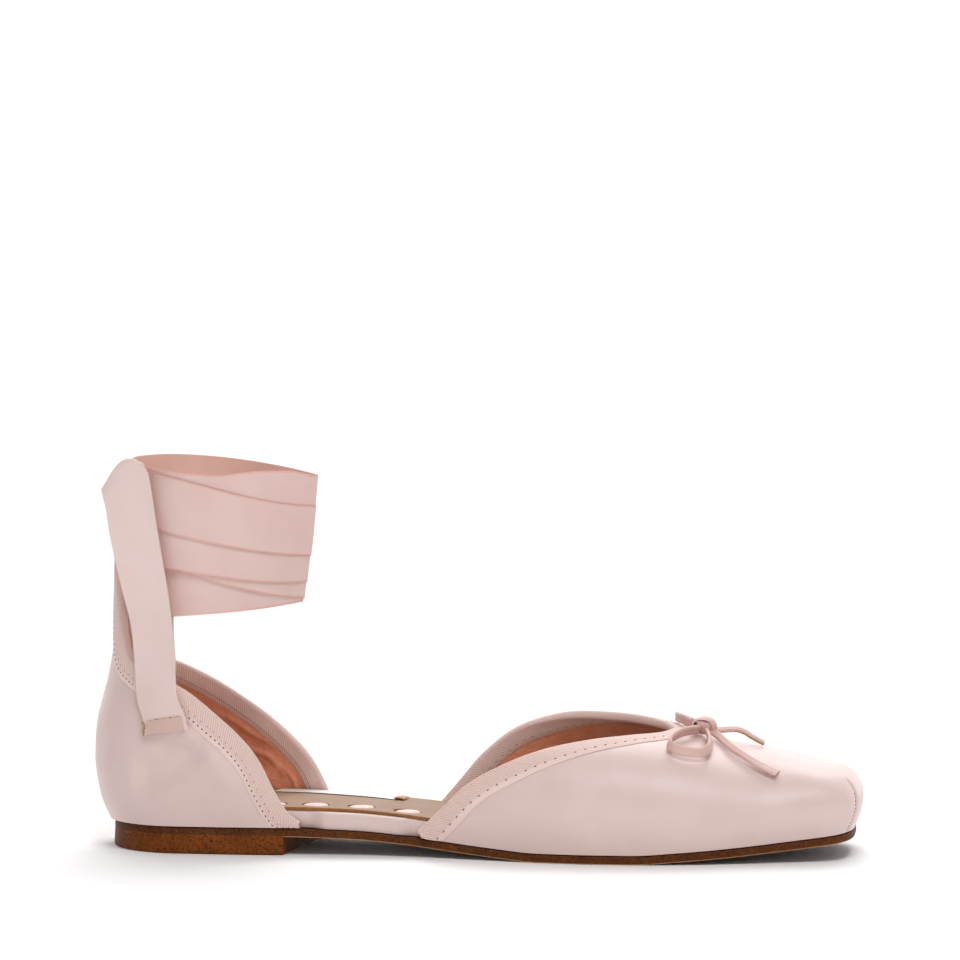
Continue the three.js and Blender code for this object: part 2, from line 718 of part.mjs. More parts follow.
// One rib of the vamp, from the sole's edge up to its crest, as part of a rounded box curve
function vampRib(base, outward, crest, { boxiness, sweep, bulge, follow = 0 }, rows) {
  const power = 2 / boxiness;
  const fine = 48;
  const acrossEnd = 1 - Math.cos(sweep) ** power;
  const upEnd = Math.sin(sweep) ** power;
  const points = [];
  for (let i = 0; i <= fine; i += 1) {
    const angle = (sweep * i) / fine;
    const across = i === fine ? 1 : (1 - Math.cos(angle) ** power) / acrossEnd;
    const up = i === fine ? 1 : Math.sin(angle) ** power / upEnd;
    const out = bulge * Math.sin(Math.PI * up);
    const x = mix(base.x, crest.x, across);
    const roof = mix(crest.z, ridgeHeight(x), follow);
    points.push(new THREE.Vector3(
      x + outward.x * out,
      mix(base.y, crest.y, across) + outward.y * out,
      mix(base.z, roof, up),
    ));
  }
  return evenly(points, rows);
}

const VAMP_ROWS = 8;
const VAMP_SIDE_RIBS = 13;
const VAMP_FRONT_RIBS = 16;

function vampBase(side, distance) {
  const point = EDGES[side].at(distance);
  point.z = featherHeight(point.x);
  return point;
}

// Ribs beside the throat, from the back corner to the throat
function vampSideRibs(side) {
  const rows = side === LATERAL ? VAMP_TOPLINE.lateral : VAMP_TOPLINE.medial;
  const edge = EDGES[side];
  const crestX = reader(rows, 'base', 'x');
  const crestY = reader(rows, 'base', 'y');
  const crestZ = reader(rows, 'base', 'z');
  const from = edge.distanceAt(rows[0].base);
  const to = edge.distanceAt(THROAT.base);
  return Array.from({ length: VAMP_SIDE_RIBS + 1 }, (_, i) => {
    const share = i / VAMP_SIDE_RIBS;
    const distance = mix(from, to, share ** 1.15);
    const base = vampBase(side, distance);
    const crest = new THREE.Vector3(crestX(base.x), crestY(base.x), crestZ(base.x));
    if (i === VAMP_SIDE_RIBS) {
      crest.set(THROAT.x, THROAT.y, THROAT.z);
    }
    const form = {
      boxiness: 2.2,
      sweep: mix(0.9, Math.PI / 2, smoothstep(share, 0, 1)),
      bulge: VAMP_BULGE * smoothstep(share, 0, 0.35),
    };
    return vampRib(base, edge.outward(distance), crest, form, VAMP_ROWS);
  });
}

// Ribs from the throat to the middle of the toe, which meet on the ridge
function vampFrontRibs(side) {
  const edge = EDGES[side];
  const from = edge.distanceAt(THROAT.base);
  return Array.from({ length: VAMP_FRONT_RIBS + 1 }, (_, i) => {
    const share = i / VAMP_FRONT_RIBS;
    const distance = mix(from, edge.total, share);
    const base = vampBase(side, distance);
    const x = mix(THROAT.x, SPINE_END_X, share);
    const crest = new THREE.Vector3(x, THROAT.y, ridgeHeight(x));
    const form = {
      boxiness: mix(2.2, 4.2, smoothstep(share, 0.25, 0.9)),
      sweep: Math.PI / 2,
      bulge: VAMP_BULGE,
      follow: smoothstep(share, 0, 0.35),
    };
    const outward = i === VAMP_FRONT_RIBS ? new THREE.Vector3(1, 0, 0) : edge.outward(distance);
    return vampRib(base, outward, crest, form, VAMP_ROWS);
  });
}

function vampColumns() {
  const medialFront = vampFrontRibs(MEDIAL).slice(0, -1).reverse();
  return [
    ...vampSideRibs(LATERAL).slice(0, -1),
    ...vampFrontRibs(LATERAL),
    ...medialFront,
    ...vampSideRibs(MEDIAL).slice(0, -1).reverse(),
  ];
}

// Shares from 0 to 1 whose steps are shorter towards both ends
function closeAtEnds(count, amount) {
  return Array.from({ length: count + 1 }, (_, i) => {
    const t = i / count;
    return t - (amount * Math.sin(2 * Math.PI * t)) / (2 * Math.PI);
  });
}

const QUARTER_ROWS = 8;
const QUARTER_RIBS = 20;

// Ribs of one half of the quarter, from the middle of the heel to the front corner
function quarterRibs(side) {
  const rows = side === LATERAL ? QUARTER_TOPLINE.lateral : QUARTER_TOPLINE.medial;
  const edge = EDGES[side];
  const topX = reader(rows, 'round', 'x');
  const topY = reader(rows, 'round', 'y');
  const topZ = reader(rows, 'round', 'z');
  const cup = reader(CUP, 'z', 'out');
  const cupShare = reader(CUP_SHARE, 'round', 'share');
  const end = rows[rows.length - 1].round;
  return closeAtEnds(QUARTER_RIBS, 0.4).map((share, i) => {
    const round = end * share;
    const base = edge.at(round);
    base.z = featherHeight(base.x);
    const top = new THREE.Vector3(topX(round), topY(round), topZ(round));
    const outward = i === 0 ? new THREE.Vector3(-1, 0, 0) : edge.outward(round);
    const fine = 48;
    const points = [];
    for (let j = 0; j <= fine; j += 1) {
      const up = j / fine;
      const point = base.clone().lerp(top, up);
      const out = cup(point.z) * cupShare(round) * (1 - up ** 4);
      points.push(point.addScaledVector(outward, out));
    }
    return evenly(points, QUARTER_ROWS);
  });
}

function quarterColumns() {
  return [...quarterRibs(MEDIAL).reverse(), ...quarterRibs(LATERAL).slice(1)];
}

function insoleLabel() {
  const steps = 4;
  const [nearBack, nearFront, farFront, farBack] = LABEL_CORNERS;
  const layer = (lift) => Array.from({ length: steps + 1 }, (_, i) => {
    const t = i / steps;
    return [[nearBack, nearFront], [farBack, farFront]].map(([back, front]) => {
      const x = mix(back.x, front.x, t);
      return new THREE.Vector3(x, mix(back.y, front.y, t), sockBottom(x) + SOCK_THICK + lift);
    });
  });
  return bodyFromGrids([layer(SEAT_GAP + LABEL_THICK), layer(SEAT_GAP)]);
}

// The nearest place on the outside of an upper, with the outward direction there
function skinOf(columns) {
  const sheet = sheetOf(columns);
  const normals = sheetNormals(sheet);
  const faces = sheet.triangles.map((corners) => ({
    corners,
    triangle: new THREE.Triangle(...corners.map((corner) => sheet.points[corner])),
  }));
  return (place) => {
    const trial = new THREE.Vector3();
    const point = new THREE.Vector3();
    let least = Infinity;
    let nearest = faces[0];
    for (const face of faces) {
      face.triangle.closestPointToPoint(place, trial);
      const distance = trial.distanceToSquared(place);
      if (distance < least) {
        least = distance;
        nearest = face;
        point.copy(trial);
      }
    }
    const share = nearest.triangle.getBarycoord(point, new THREE.Vector3());
    const normal = new THREE.Vector3();
    nearest.corners.forEach((corner, i) => {
      normal.addScaledVector(normals[corner], share.getComponent(i));
    });
    return { point, normal: normal.normalize() };
  };
}

const crestsOf = (ribs) => ribs.map((rib) => rib[rib.length - 1]);

// Places on a skin under a tape, down a rib until the tape's width from the free edge is reached
function placesDownRib(skin, rib, freeEdge, width, steps) {
  const run = runOf([...rib].reverse());
  const step = 0.4;
  const clear = (place) => Math.min(...freeEdge.map((point) => point.distanceTo(place)));
  let depth = step;
  while (depth < run.total && clear(run.at(depth)) < width) {
    depth += step;
  }
  const end = Math.min(depth, run.total);
  return Array.from({ length: steps + 1 }, (_, i) => skin(run.at((end * i) / steps)));
}

function placesStraightIn(skin, crest, away, width, steps) {
  return Array.from({ length: steps + 1 }, (_, i) => (
    skin(crest.clone().addScaledVector(away, (-width * i) / steps))
  ));
}

// The way from each station of a free edge out of the sheet
function waysOut(skin, crests) {
  return crests.map((crest, i) => {
    const next = crests[Math.min(i + 1, crests.length - 1)];
    const along = next.clone().sub(crests[Math.max(i - 1, 0)]);
    return skin(crest).normal.cross(along).normalize();
  });
}

// Tape folded over the free edge: down the outside, over the wall, down the inside
function edgeTape(sections) {
  const over = (place, level) => {
    const point = place.point.clone().addScaledVector(place.normal, level);
    point.z = Math.max(point.z, featherHeight(point.x));
    return point;
  };
  const layer = (lift) => sections.map(({ away, outside, inside }) => {
    const outer = outside.map((place) => over(place, lift)).reverse();
    const inner = inside.map((place) => over(place, -lift));
    outer[outer.length - 1].addScaledVector(away, lift * 0.5);
    inner[0].addScaledVector(away, lift * 0.5);
    const crown = outside[0].point.clone().lerp(inside[0].point, 0.5).addScaledVector(away, lift * 1.15);
    return [...outer, crown, ...inner];
  });
  return bodyFromGrids([layer(TAPE_GAP + TAPE_THICK), layer(TAPE_GAP)]);
}

// The quarter's tape is measured down its ribs, the inside on the wall's own back
function quarterTape(columns) {
  const [front, back] = [columns, columnsBehind(columns, WALL)].map((ribs) => ({
    ribs,
    skin: skinOf(ribs),
    freeEdge: evenly(crestsOf(ribs), 160),
  }));
  const under = ({ ribs, skin, freeEdge }, i, width, steps) => (
    placesDownRib(skin, ribs[i], freeEdge, width, steps)
  );
  return edgeTape(waysOut(front.skin, crestsOf(columns)).map((away, i) => ({
    away,
    outside: under(front, i, TAPE_OUTSIDE, 3),
    inside: under(back, i, TAPE_INSIDE, 3),
  })));
}

// The vamp's tape is measured straight in, with its stations close together at the throat
function vampTape(columns) {
  const half = closeAtEnds(21, 0.35);
  const shares = [...half.map((share) => share / 2), ...half.slice(1).map((share) => (1 + share) / 2)];
  const [front, back] = [columns, columnsBehind(columns, WALL)].map((ribs) => {
    const sides = [...ribs.slice(0, VAMP_SIDE_RIBS + 1), ...ribs.slice(-VAMP_SIDE_RIBS)];
    const crests = crestsOf(sides);
    const at = (share) => {
      const place = share * (crests.length - 1);
      const before = Math.min(Math.floor(place), crests.length - 2);
      return crests[before].clone().lerp(crests[before + 1], place - before);
    };
    return { skin: skinOf(ribs), crests: shares.map(at) };
  });
  return edgeTape(waysOut(front.skin, front.crests).map((away, i) => ({
    away,
    outside: placesStraightIn(front.skin, front.crests[i], away, TAPE_OUTSIDE, 3),
    inside: placesStraightIn(back.skin, back.crests[i], away, TAPE_INSIDE, 3),
  })));
}

// A point of the ribbon loop's plan, moved outward
function loopPoint(angle, out) {
  const plain = (t) => new THREE.Vector3(
    LOOP.middleX + LOOP.reachX * Math.cos(t),
    LOOP.reachY * Math.sin(t) * Math.abs(Math.sin(t / 2)) ** LOOP.pinch,
    0,
  );
  const reach = 0.02;
  const along = plain(angle + reach).sub(plain(angle - reach)).normalize();
  return plain(angle).add(new THREE.Vector3(along.y, -along.x, 0).multiplyScalar(out));
}

function ribbonTurn({ out, z, riseX, riseY, height }) {
  const ring = (shift) => Array.from({ length: TURN_STEPS + 1 }, (_, i) => {
    const angle = (2 * Math.PI * (i % TURN_STEPS)) / TURN_STEPS;
    const foot = loopPoint(angle, out + shift);
    const low = z + riseX * foot.x + riseY * foot.y;
    const share = (1 + Math.cos(angle)) / 2;
    return [low, low + height].map((level) => (
      new THREE.Vector3(foot.x + LOOP.lean * (level - LOOP.leanFrom) * share, foot.y, level)
    ));
  });
  return bodyFromGrids([ring(RIBBON_THICK / 2), ring(-RIBBON_THICK / 2)]);
}

// A strap from its edge rows, kept clear of the quarter
function ankleStrap(rows, skin) {
  const across = 4;
  const columns = rows.map((row) => Array.from({ length: across + 1 }, (_, i) => {
    const t = i / across;
    const point = new THREE.Vector3(
      mix(row.backX, row.frontX, t),
      mix(row.backY, row.frontY, t),
      mix(row.backZ, row.frontZ, t) + row.bow * Math.sin(Math.PI * t),
    );
    const place = skin(point);
    const stand = point.clone().sub(place.point).dot(place.normal);
    const beside = point.distanceTo(place.point) < STRAP_REACH;
    return beside && stand < STRAP_CLEAR
      ? point.addScaledVector(place.normal, STRAP_CLEAR - stand)
      : point;
  }));
  const normals = sheetNormals(sheetOf(columns));
  const layer = (level) => columns.map((column, i) => column.map((point, j) => (
    point.clone().addScaledVector(normals[i * (across + 1) + j], level)
  )));
  return bodyFromGrids([layer(RIBBON_THICK / 2), layer(-RIBBON_THICK / 2)]);
}

// Flat cord along its rows; its lie turns from edgewise at 0 to flat at a quarter turn
function bowCord({ rows, lieFrom, lieTo }) {
  const path = new THREE.CatmullRomCurve3(rows.map(({ x, y, z }) => new THREE.Vector3(x, y, z)));
  const steps = Math.round(path.getLength() / 3.6);
  const corners = [
    [-1, -0.5], [-0.75, -1], [0.75, -1], [1, -0.5],
    [1, 0.5], [0.75, 1], [-0.75, 1], [-1, 0.5],
  ];
  const rings = Array.from({ length: steps + 1 }, (_, i) => {
    const centre = path.getPointAt(i / steps);
    const along = path.getTangentAt(i / steps);
    const flat = new THREE.Vector3(0, 0, 1).cross(along).normalize();
    const upright = along.clone().cross(flat);
    const lie = mix(lieFrom, lieTo, i / steps);
    const wide = upright.clone().multiplyScalar(Math.cos(lie)).addScaledVector(flat, Math.sin(lie));
    const thin = along.clone().cross(wide);
    return corners.map(([u, v]) => centre.clone()
      .addScaledVector(wide, (u * BOW_CORD.width) / 2)
      .addScaledVector(thin, (v * BOW_CORD.thick) / 2));
  });
  const size = corners.length;
  const triangles = [];
  for (let i = 0; i < steps; i += 1) {
    for (let j = 0; j < size; j += 1) {
      const a = i * size + j;
      const b = i * size + ((j + 1) % size);
      triangles.push([a, b, b + size], [a, b + size, a + size]);
    }
  }
  const cap = (base, turn) => {
    for (let j = 1; j + 1 < size; j += 1) {
      triangles.push(turn ? [base, base + j + 1, base + j] : [base, base + j, base + j + 1]);
    }
  };
  cap(0, true);
  cap(steps * size, false);
  const geometry = new THREE.BufferGeometry();
  const positions = new Float32Array(rings.flat().flatMap((point) => point.toArray()));
  geometry.setAttribute('position', new THREE.BufferAttribute(positions, 3));
  geometry.setIndex(triangles.flat());
  return geometry;
}

function bowKnot() {
  const knot = new THREE.SphereGeometry(1, 10, 7);
  knot.scale(BOW_KNOT.reachX, BOW_KNOT.reachY, BOW_KNOT.reachZ);
  knot.translate(BOW_KNOT.x, BOW_KNOT.y, BOW_KNOT.z);
  return knot;
}

function makeMesh(name, geometry, look) {
  const mesh = new THREE.Mesh(geometry, new THREE.MeshStandardMaterial(look));
  mesh.name = name;
  return mesh;
}

const vampSheet = vampColumns();
const quarterSheet = quarterColumns();
const quarterSkin = skinOf(quarterSheet);

const shoe = new THREE.Group();
shoe.name = 'ballet_flat';
shoe.add(makeMesh('outsole', outsole(), SOLE_BROWN));
shoe.add(makeMesh('heel_block', heelBlock(), SOLE_BROWN));
shoe.add(makeMesh('insole_board', insoleBoard(), SATIN));
shoe.add(makeMesh('insole_sock', insoleSock(), INSOLE_TAN));
shoe.add(makeMesh('insole_label', insoleLabel(), LABEL_WHITE));
shoe.add(makeMesh('vamp', bodyFromGrids([vampSheet, columnsBehind(vampSheet, WALL)]), SATIN));
shoe.add(makeMesh('quarter', bodyFromGrids([quarterSheet, columnsBehind(quarterSheet, WALL)]), SATIN));
shoe.add(makeMesh('vamp_binding', vampTape(vampSheet), TAPE_PINK));
shoe.add(makeMesh('quarter_binding', quarterTape(quarterSheet), TAPE_PINK));
shoe.add(makeMesh('ribbon_strap_lateral', ankleStrap(STRAPS.lateral, quarterSkin), RIBBON_PINK));
shoe.add(makeMesh('ribbon_strap_medial', ankleStrap(STRAPS.medial, quarterSkin), RIBBON_PINK));
for (const turn of TURNS) {
  shoe.add(makeMesh(turn.name, ribbonTurn(turn), RIBBON_PINK));
}
shoe.add(makeMesh('bow_knot', bowKnot(), SATIN));
for (const [name, path] of Object.entries(BOW_PATHS)) {
  shoe.add(makeMesh(name, bowCord(path), SATIN));
}

export default shoe;
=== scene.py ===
"""Looks of a right satin ballet flat with ankle ribbons. Sizes are millimetres until a mesh is made."""

import math

import bmesh
import bpy
import numpy as np
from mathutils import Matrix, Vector
from mathutils.bvhtree import BVHTree


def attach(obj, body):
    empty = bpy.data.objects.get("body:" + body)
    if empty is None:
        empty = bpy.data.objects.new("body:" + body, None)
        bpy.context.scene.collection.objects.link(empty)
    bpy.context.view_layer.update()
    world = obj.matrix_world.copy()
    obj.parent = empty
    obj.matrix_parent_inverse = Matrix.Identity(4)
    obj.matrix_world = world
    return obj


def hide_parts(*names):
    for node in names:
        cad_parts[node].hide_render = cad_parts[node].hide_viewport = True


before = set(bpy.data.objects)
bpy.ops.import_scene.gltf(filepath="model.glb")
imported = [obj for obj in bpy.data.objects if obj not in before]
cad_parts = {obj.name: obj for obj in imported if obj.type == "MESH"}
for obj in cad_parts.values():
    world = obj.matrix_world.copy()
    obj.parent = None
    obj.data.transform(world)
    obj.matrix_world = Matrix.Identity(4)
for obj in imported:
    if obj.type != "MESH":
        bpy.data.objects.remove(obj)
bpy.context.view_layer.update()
FINE = 1.0

# The last, as in the CAD source
SOLE_BACK, SOLE_FRONT = -30, 212
HEEL_ROUND_CENTRE = -4
TOE_ROUND_START = 198
TOE_BOXINESS = 3.2
LATERAL, MEDIAL = -1, 1

# x, lateral, medial
SOLE_WIDTHS = [
    (-4, 27.0, 26.0), (15, 27.5, 25.5), (32, 27.0, 24.0), (52, 26.0, 21.5), (72, 27.4, 21.5),
    (92, 31.4, 25.5), (112, 35.4, 31.5), (130, 37.6, 36.5), (146, 37.4, 38.4), (162, 35.2, 38.2),
    (180, 30.8, 35.6), (198, 25.6, 30.2), (212, 22.4, 26.6),
]

# x, z
SOLE_UNDERSIDE = [
    (-30, 5.9), (30, 5.9), (42, 5.6), (56, 5.0), (70, 3.8), (85, 2.2), (100, 0.8), (112, 0),
    (142, 0), (156, 0.8), (172, 2.0), (190, 3.8), (212, 6.2),
]
OUTSOLE_THICK = 2.6
OUTSOLE_ROUNDING = 0.5
# Ring columns along the lower edge, on the outer and on the inner side; their light tan is a painted highlight
# where the rounded edge catches light from the floor
OUTSOLE_HIGHLIGHT_COLUMNS = (4, 5, 13, 14)
HEEL_BREAST = {LATERAL: 29.3, MEDIAL: 37.5}
HEEL_BREAST_HOLLOW = 1.5
SEAT_GAP = 0.3
FEATHER_GAP = 0.4

# x, thickness
BOARD_THICKNESS = [(-30, 5.4), (80, 5.4), (104, 4.0), (125, 3.0), (212, 2.6)]
BOARD_INSET_UNDER_UPPER = 2.95
BOARD_INSET_AT_WAIST = 0.4
WAIST = {LATERAL: (40.5, 68.5), MEDIAL: (45, 67)}
WAIST_BLEND = 3
SOCK_THICK = 0.8
SOCK_INSET = 3.5
SOCK_FRONT = 200
# Ring columns round the sock's outer and inner edge
SOCK_EDGE_COLUMNS = (0, 1, 2, 15, 16, 17)
WINDOW_RADIUS = 4.6
WINDOW_FIRST_X, WINDOW_STEP, WINDOW_COUNT = -3, 14, 8
WINDOW_FROM_EDGE = 11.5
WINDOW_CORNERS = 48
PAD_RADIUS, PAD_HEIGHT = 4.55, 1.25

WALL, SATIN_THICK, LINING_FROM = 1.6, 0.8, 0.85
VAMP_BULGE = 2.4
THROAT_BASE = 166
THROAT = (154, 1, 39.4)
SPINE_END_X = 204.5

# x, z
RIDGE = [(154, 39.4), (162, 37.6), (172, 35.4), (181, 33.8), (190, 31.7), (201, 29.7), (215, 27.2)]

# base, x, y, z
VAMP_TOPLINE = {
    LATERAL: [
        (74, 74, -28, 7.6), (79.5, 80.4, -29.6, 14.6), (88, 88.4, -30.8, 22.8), (99, 98.8, -30.6, 29.2),
        (113, 112, -27.4, 34.4), (129, 126.5, -21.6, 37.3), (143, 139.5, -15.6, 38.4),
        (156, 150, -8.2, 38.8), (166, 154, 1, 39.4),
    ],
    MEDIAL: [
        (73, 73, 21.7, 7.8), (79, 79.6, 23.8, 16.2), (87, 87.4, 26, 26.2), (98, 98, 27, 35.2),
        (113, 112, 25.4, 40.6), (129, 126, 20.6, 42.2), (143, 139, 15.6, 41.8),
        (156, 149.6, 9, 40.4), (166, 154, 1, 39.4),
    ],
}

# round, x, y, z; the back tab is the same on both sides
QUARTER_TAB = [
    (0, -29.2, 0, 94), (4, -29, 4, 93.6), (7, -28.4, 6.8, 91), (9, -27.6, 8.2, 86),
    (11.5, -26.8, 9.6, 78), (14.5, -25.6, 11.5, 70), (18, -24, 13.6, 64),
]
QUARTER_TOPLINE = {
    LATERAL: [
        *((round_at, x, -y, z) for round_at, x, y, z in QUARTER_TAB), (25, -19.5, -17.8, 59.5),
        (34, -11.5, -22.4, 56), (44, -2, -25.2, 51.4), (53, 7, -26.6, 44.6), (61, 15, -27, 37.6),
        (68, 21, -27, 30.2), (73.4, 26.4, -26.8, 19.8), (77.2, 30.6, -26.8, 13.2), (80.4, 34.5, -26.85, 10.2),
    ],
    MEDIAL: [
        *QUARTER_TAB, (25, -19.5, 17.4, 60),
        (34, -11.5, 21.6, 56.4), (44, -1.5, 23.8, 51.2), (53, 7.5, 24.4, 45.6), (62, 16.5, 24.2, 39.4),
        (70, 25, 23.6, 32.2), (77, 31.6, 22.8, 24.6), (80.4, 35.4, 22.8, 17.4), (83.4, 38.2, 23, 10.2),
    ],
}

# z, out
CUP = [
    (8, 1.0), (15, 4.3), (22, 6.0), (30, 6.8), (37, 6.6), (43, 5.8), (50, 4.1), (57, 2.4), (64, 1.2),
    (72, 0.6), (94, 0.2),
]
# round, share
CUP_SHARE = [(0, 1), (14, 0.92), (28, 0.62), (42, 0.36), (60, 0.24), (80, 0)]

LABEL_CORNERS = [(20.4, 14.0), (61.2, 7.1), (62.5, 14.7), (21.7, 21.5)]
TAPE_OUTSIDE, TAPE_INSIDE = 7.1, 5.7
TAPE_TOP, TAPE_FOOT = 0.62, 0.12

# Extra height of the top turn on the near side
NEAR_RISE = 2.0
LOOP_MIDDLE_X, LOOP_REACH_X, LOOP_REACH_Y, LOOP_PINCH = 5.85, 27.35, 26.6, 0.8
LOOP_LEAN, LOOP_LEAN_FROM = 0.105, 100
# How far the turns are pressed together at their front fold, and how soft they are
TURN_PRESS, TURN_BELLY, TURN_RIPPLE = 0.55, 0.22, 0.1
# Half the thickness, and the height of the small edge loops
TURN_HALF, STRAP_HALF = 0.14, 0.15
TURN_LOOPS, STRAP_LOOPS = 0.42, 0.36
STRAP_STATION = 0.9
STRAP_CLEAR = 1.65
STRAP_END = 4.7
# name: out, z, rise_x, rise_y, height, then how far the front droops at its lower and its upper edge
TURNS = {
    "ribbon_turn_1": (1.7, 108.1, -0.09, 0.07, 15.5, 0, 0),
    "ribbon_turn_2": (2.55, 103.5, -0.2, 0.07, 17.5, 1.5, 3.4),
    "ribbon_turn_3": (1.7, 92.7, -0.09, 0.07, 15, 3.2, 1.5),
    "ribbon_turn_4": (0.85, 91.5, -0.22, 0.07, 15.5, 2.9, 3.0),
    "ribbon_turn_5": (0, 78.6, 0.11, 0.07, 15.5, 2.2, 1.5),
}

# back x, y, z, front x, y, z, bow
STRAPS = {
    LATERAL: [
        (-14.8, -25.4, 38.1, -1.2, -29.0, 40.4, 0), (-16.0, -25.2, 43.0, -2.6, -28.2, 45.4, 0),
        (-18.4, -22.6, 49.3, -4.9, -27.2, 49.8, 0), (-19.4, -21.2, 56.5, -5.6, -27.2, 56.0, 0),
        (-19.9, -20.8, 64.0, -5.8, -26.8, 63.0, 0), (-20.9, -20.8, 73.6, -6.8, -26.2, 73.0, 0),
        (-23.6, -20.6, 84.0, -8.2, -25.8, 84.0, 0.2), (-26.2, -20.2, 94.5, -10.0, -25.6, 94.5, 0.4),
        (-28.2, -19.8, 104.0, -11.8, -25.4, 105.0, 0.8), (-29.3, -19.4, 111.0, -13.4, -25.0, 115.0, 2.4),
        (-30.4, -18.8, 115.0, -14.8, -24.4, 122.0, 4.4), (-31.0, -17.6, 117.0, -16.6, -23.0, 125.4, 5.2),
        (-30.4, -15.4, 115.8, -16.6, -20.8, 124.0, 4.6), (-28.4, -13.6, 111.0, -16.2, -19.7, 117.5, 2.4),
    ],
    MEDIAL: [
        (-22.8, 20.6, 39.0, -11.0, 25.6, 41.5, 0), (-24.6, 18.4, 48.0, -13.0, 23.8, 50.0, 0),
        (-26.2, 17.0, 58.0, -14.8, 23.6, 60.0, 0), (-26.8, 18.2, 70.0, -15.4, 24.6, 72.0, 0),
        (-26.0, 17.0, 84.0, -14.8, 23.8, 86.0, 0.3), (-24.6, 15.8, 98.0, -14.0, 22.5, 100.0, 0.5),
        (-23.6, 15.2, 109.0, -13.8, 21.8, 113.0, 0.6),
    ],
}

BOW_KNOT = (163.2, -2.6, 41.0)
BOW_STATION = 0.35
BOW_LOOP_REACH, BOW_TAIL_REACH, BOW_HALF_THICK = 1.6, 1.35, 0.7
# Turn of the flat cord at its start and at its end, then the points of its middle line
BOW_PATHS = {
    "bow_loop_lateral": (0.3, 0.3, [
        (161.6, -7.4, 40.2), (160.1, -10.2, 40.3), (157.7, -13.2, 40.1), (155.3, -17, 39.4),
        (153.7, -20.8, 38.3), (153.6, -24, 37), (155.3, -25.5, 36), (157.9, -25.7, 35.3),
        (160.8, -25.2, 34.9), (163.7, -24.3, 34.8), (165.7, -21.9, 35.5), (166.2, -17.7, 36.8),
        (165.6, -13.2, 38.3), (164.6, -8.9, 39.4),
    ]),
    "bow_loop_medial": (0, 0, [
        (158.4, 1.6, 41.1), (156.1, 4.2, 42.1), (154.3, 8, 42.3), (153.3, 11.6, 42.2), (154.6, 15, 41.2),
        (157.2, 15.6, 40.2), (159.4, 12.6, 39.9), (161.2, 8.4, 39.8), (162.4, 3.8, 39.9),
    ]),
    "bow_tail_lateral": (1.1, 1.2, [
        (164.5, -3.3, 39.9), (167.9, -5.9, 38.1), (171.5, -12.2, 36), (175, -15.8, 34), (179.8, -19, 31.6),
        (184.8, -21.2, 29.3), (187.9, -22.1, 28),
    ]),
    "bow_tail_medial": (1.1, 1.2, [
        (164.5, -1.6, 40.3), (168, -0.8, 39.4), (170.6, 0, 39.5), (173.8, 1, 39.4), (176.1, 1.5, 38.5),
        (178.4, 2, 37), (180.4, 2.5, 35.8), (182.1, 3, 34.9),
    ]),
}


def hermite(t, h, a, b, slope_a, slope_b):
    """A smooth step from a to b over the distance h, with the slopes given at its ends."""
    return (
        (1 + 2 * t) * (1 - t) ** 2 * a
        + t * (1 - t) ** 2 * h * slope_a
        + t * t * (3 - 2 * t) * b
        + t * t * (t - 1) * h * slope_b
    )


def reader(rows, key, column):
    """Smooth reading of one table column between its rows, with no overshoot."""
    table = np.array(rows, float)
    xs, ys = table[:, key], table[:, column]
    h = np.diff(xs)
    rise = np.diff(ys) / h
    slopes = np.concatenate([rise[:1], np.zeros(len(xs) - 2), rise[-1:]])
    for i in range(1, len(xs) - 1):
        before, after = rise[i - 1], rise[i]
        if before * after > 0:
            middle = (before + after) / 2
            pick = min if middle > 0 else max
            slopes[i] = pick(middle, 3 * before, 3 * after)

    def read(at):
        value = np.clip(at, xs[0], xs[-1])
        i = np.clip(np.searchsorted(xs, value) - 1, 0, len(xs) - 2)
        t = (value - xs[i]) / h[i]
        return hermite(t, h[i], ys[i], ys[i + 1], slopes[i], slopes[i + 1])

    return read


def smoothstep(value, low, high):
    t = np.clip((np.asarray(value, float) - low) / (high - low), 0, 1)
    return t * t * (3 - 2 * t)


def mix(a, b, t):
    return a + (b - a) * t


def unit(v):
    return v / np.maximum(np.linalg.norm(v, axis=-1, keepdims=True), 1e-12)


def lengths(points):
    return np.concatenate([[0], np.cumsum(np.linalg.norm(np.diff(points, axis=0), axis=1))])


def read_run(points, along, at):
    return np.stack([np.interp(at, along, points[:, k]) for k in range(3)], -1)


def evenly(points, count):
    along = lengths(points)
    return read_run(points, along, np.linspace(0, along[-1], count + 1))


def smooth_path(rows, count):
    """Points of a smooth line through the rows, evenly spaced."""
    rows = np.array(rows, float)
    along = lengths(rows)
    n = len(rows)
    tangent = np.zeros_like(rows)
    for i in range(n):
        low, high = max(i - 1, 0), min(i + 1, n - 1)
        tangent[i] = (rows[high] - rows[low]) / (along[high] - along[low])
    at = np.linspace(0, along[-1], 40 * n)
    i = np.clip(np.searchsorted(along, at) - 1, 0, n - 2)
    h = (along[i + 1] - along[i])[:, None]
    t = ((at - along[i]) / h[:, 0])[:, None]
    return evenly(hermite(t, h, rows[i], rows[i + 1], tangent[i], tangent[i + 1]), count)


sole_underside = reader(SOLE_UNDERSIDE, 0, 1)
board_thickness = reader(BOARD_THICKNESS, 0, 1)
ridge_height = reader(RIDGE, 0, 1)


def outsole_top(x):
    return sole_underside(x) + OUTSOLE_THICK


def board_bottom(x):
    return outsole_top(x) + SEAT_GAP


def board_top(x):
    return board_bottom(x) + board_thickness(x)


def sock_bottom(x):
    return board_top(x) + SEAT_GAP


def feather_height(x):
    return outsole_top(x) + FEATHER_GAP


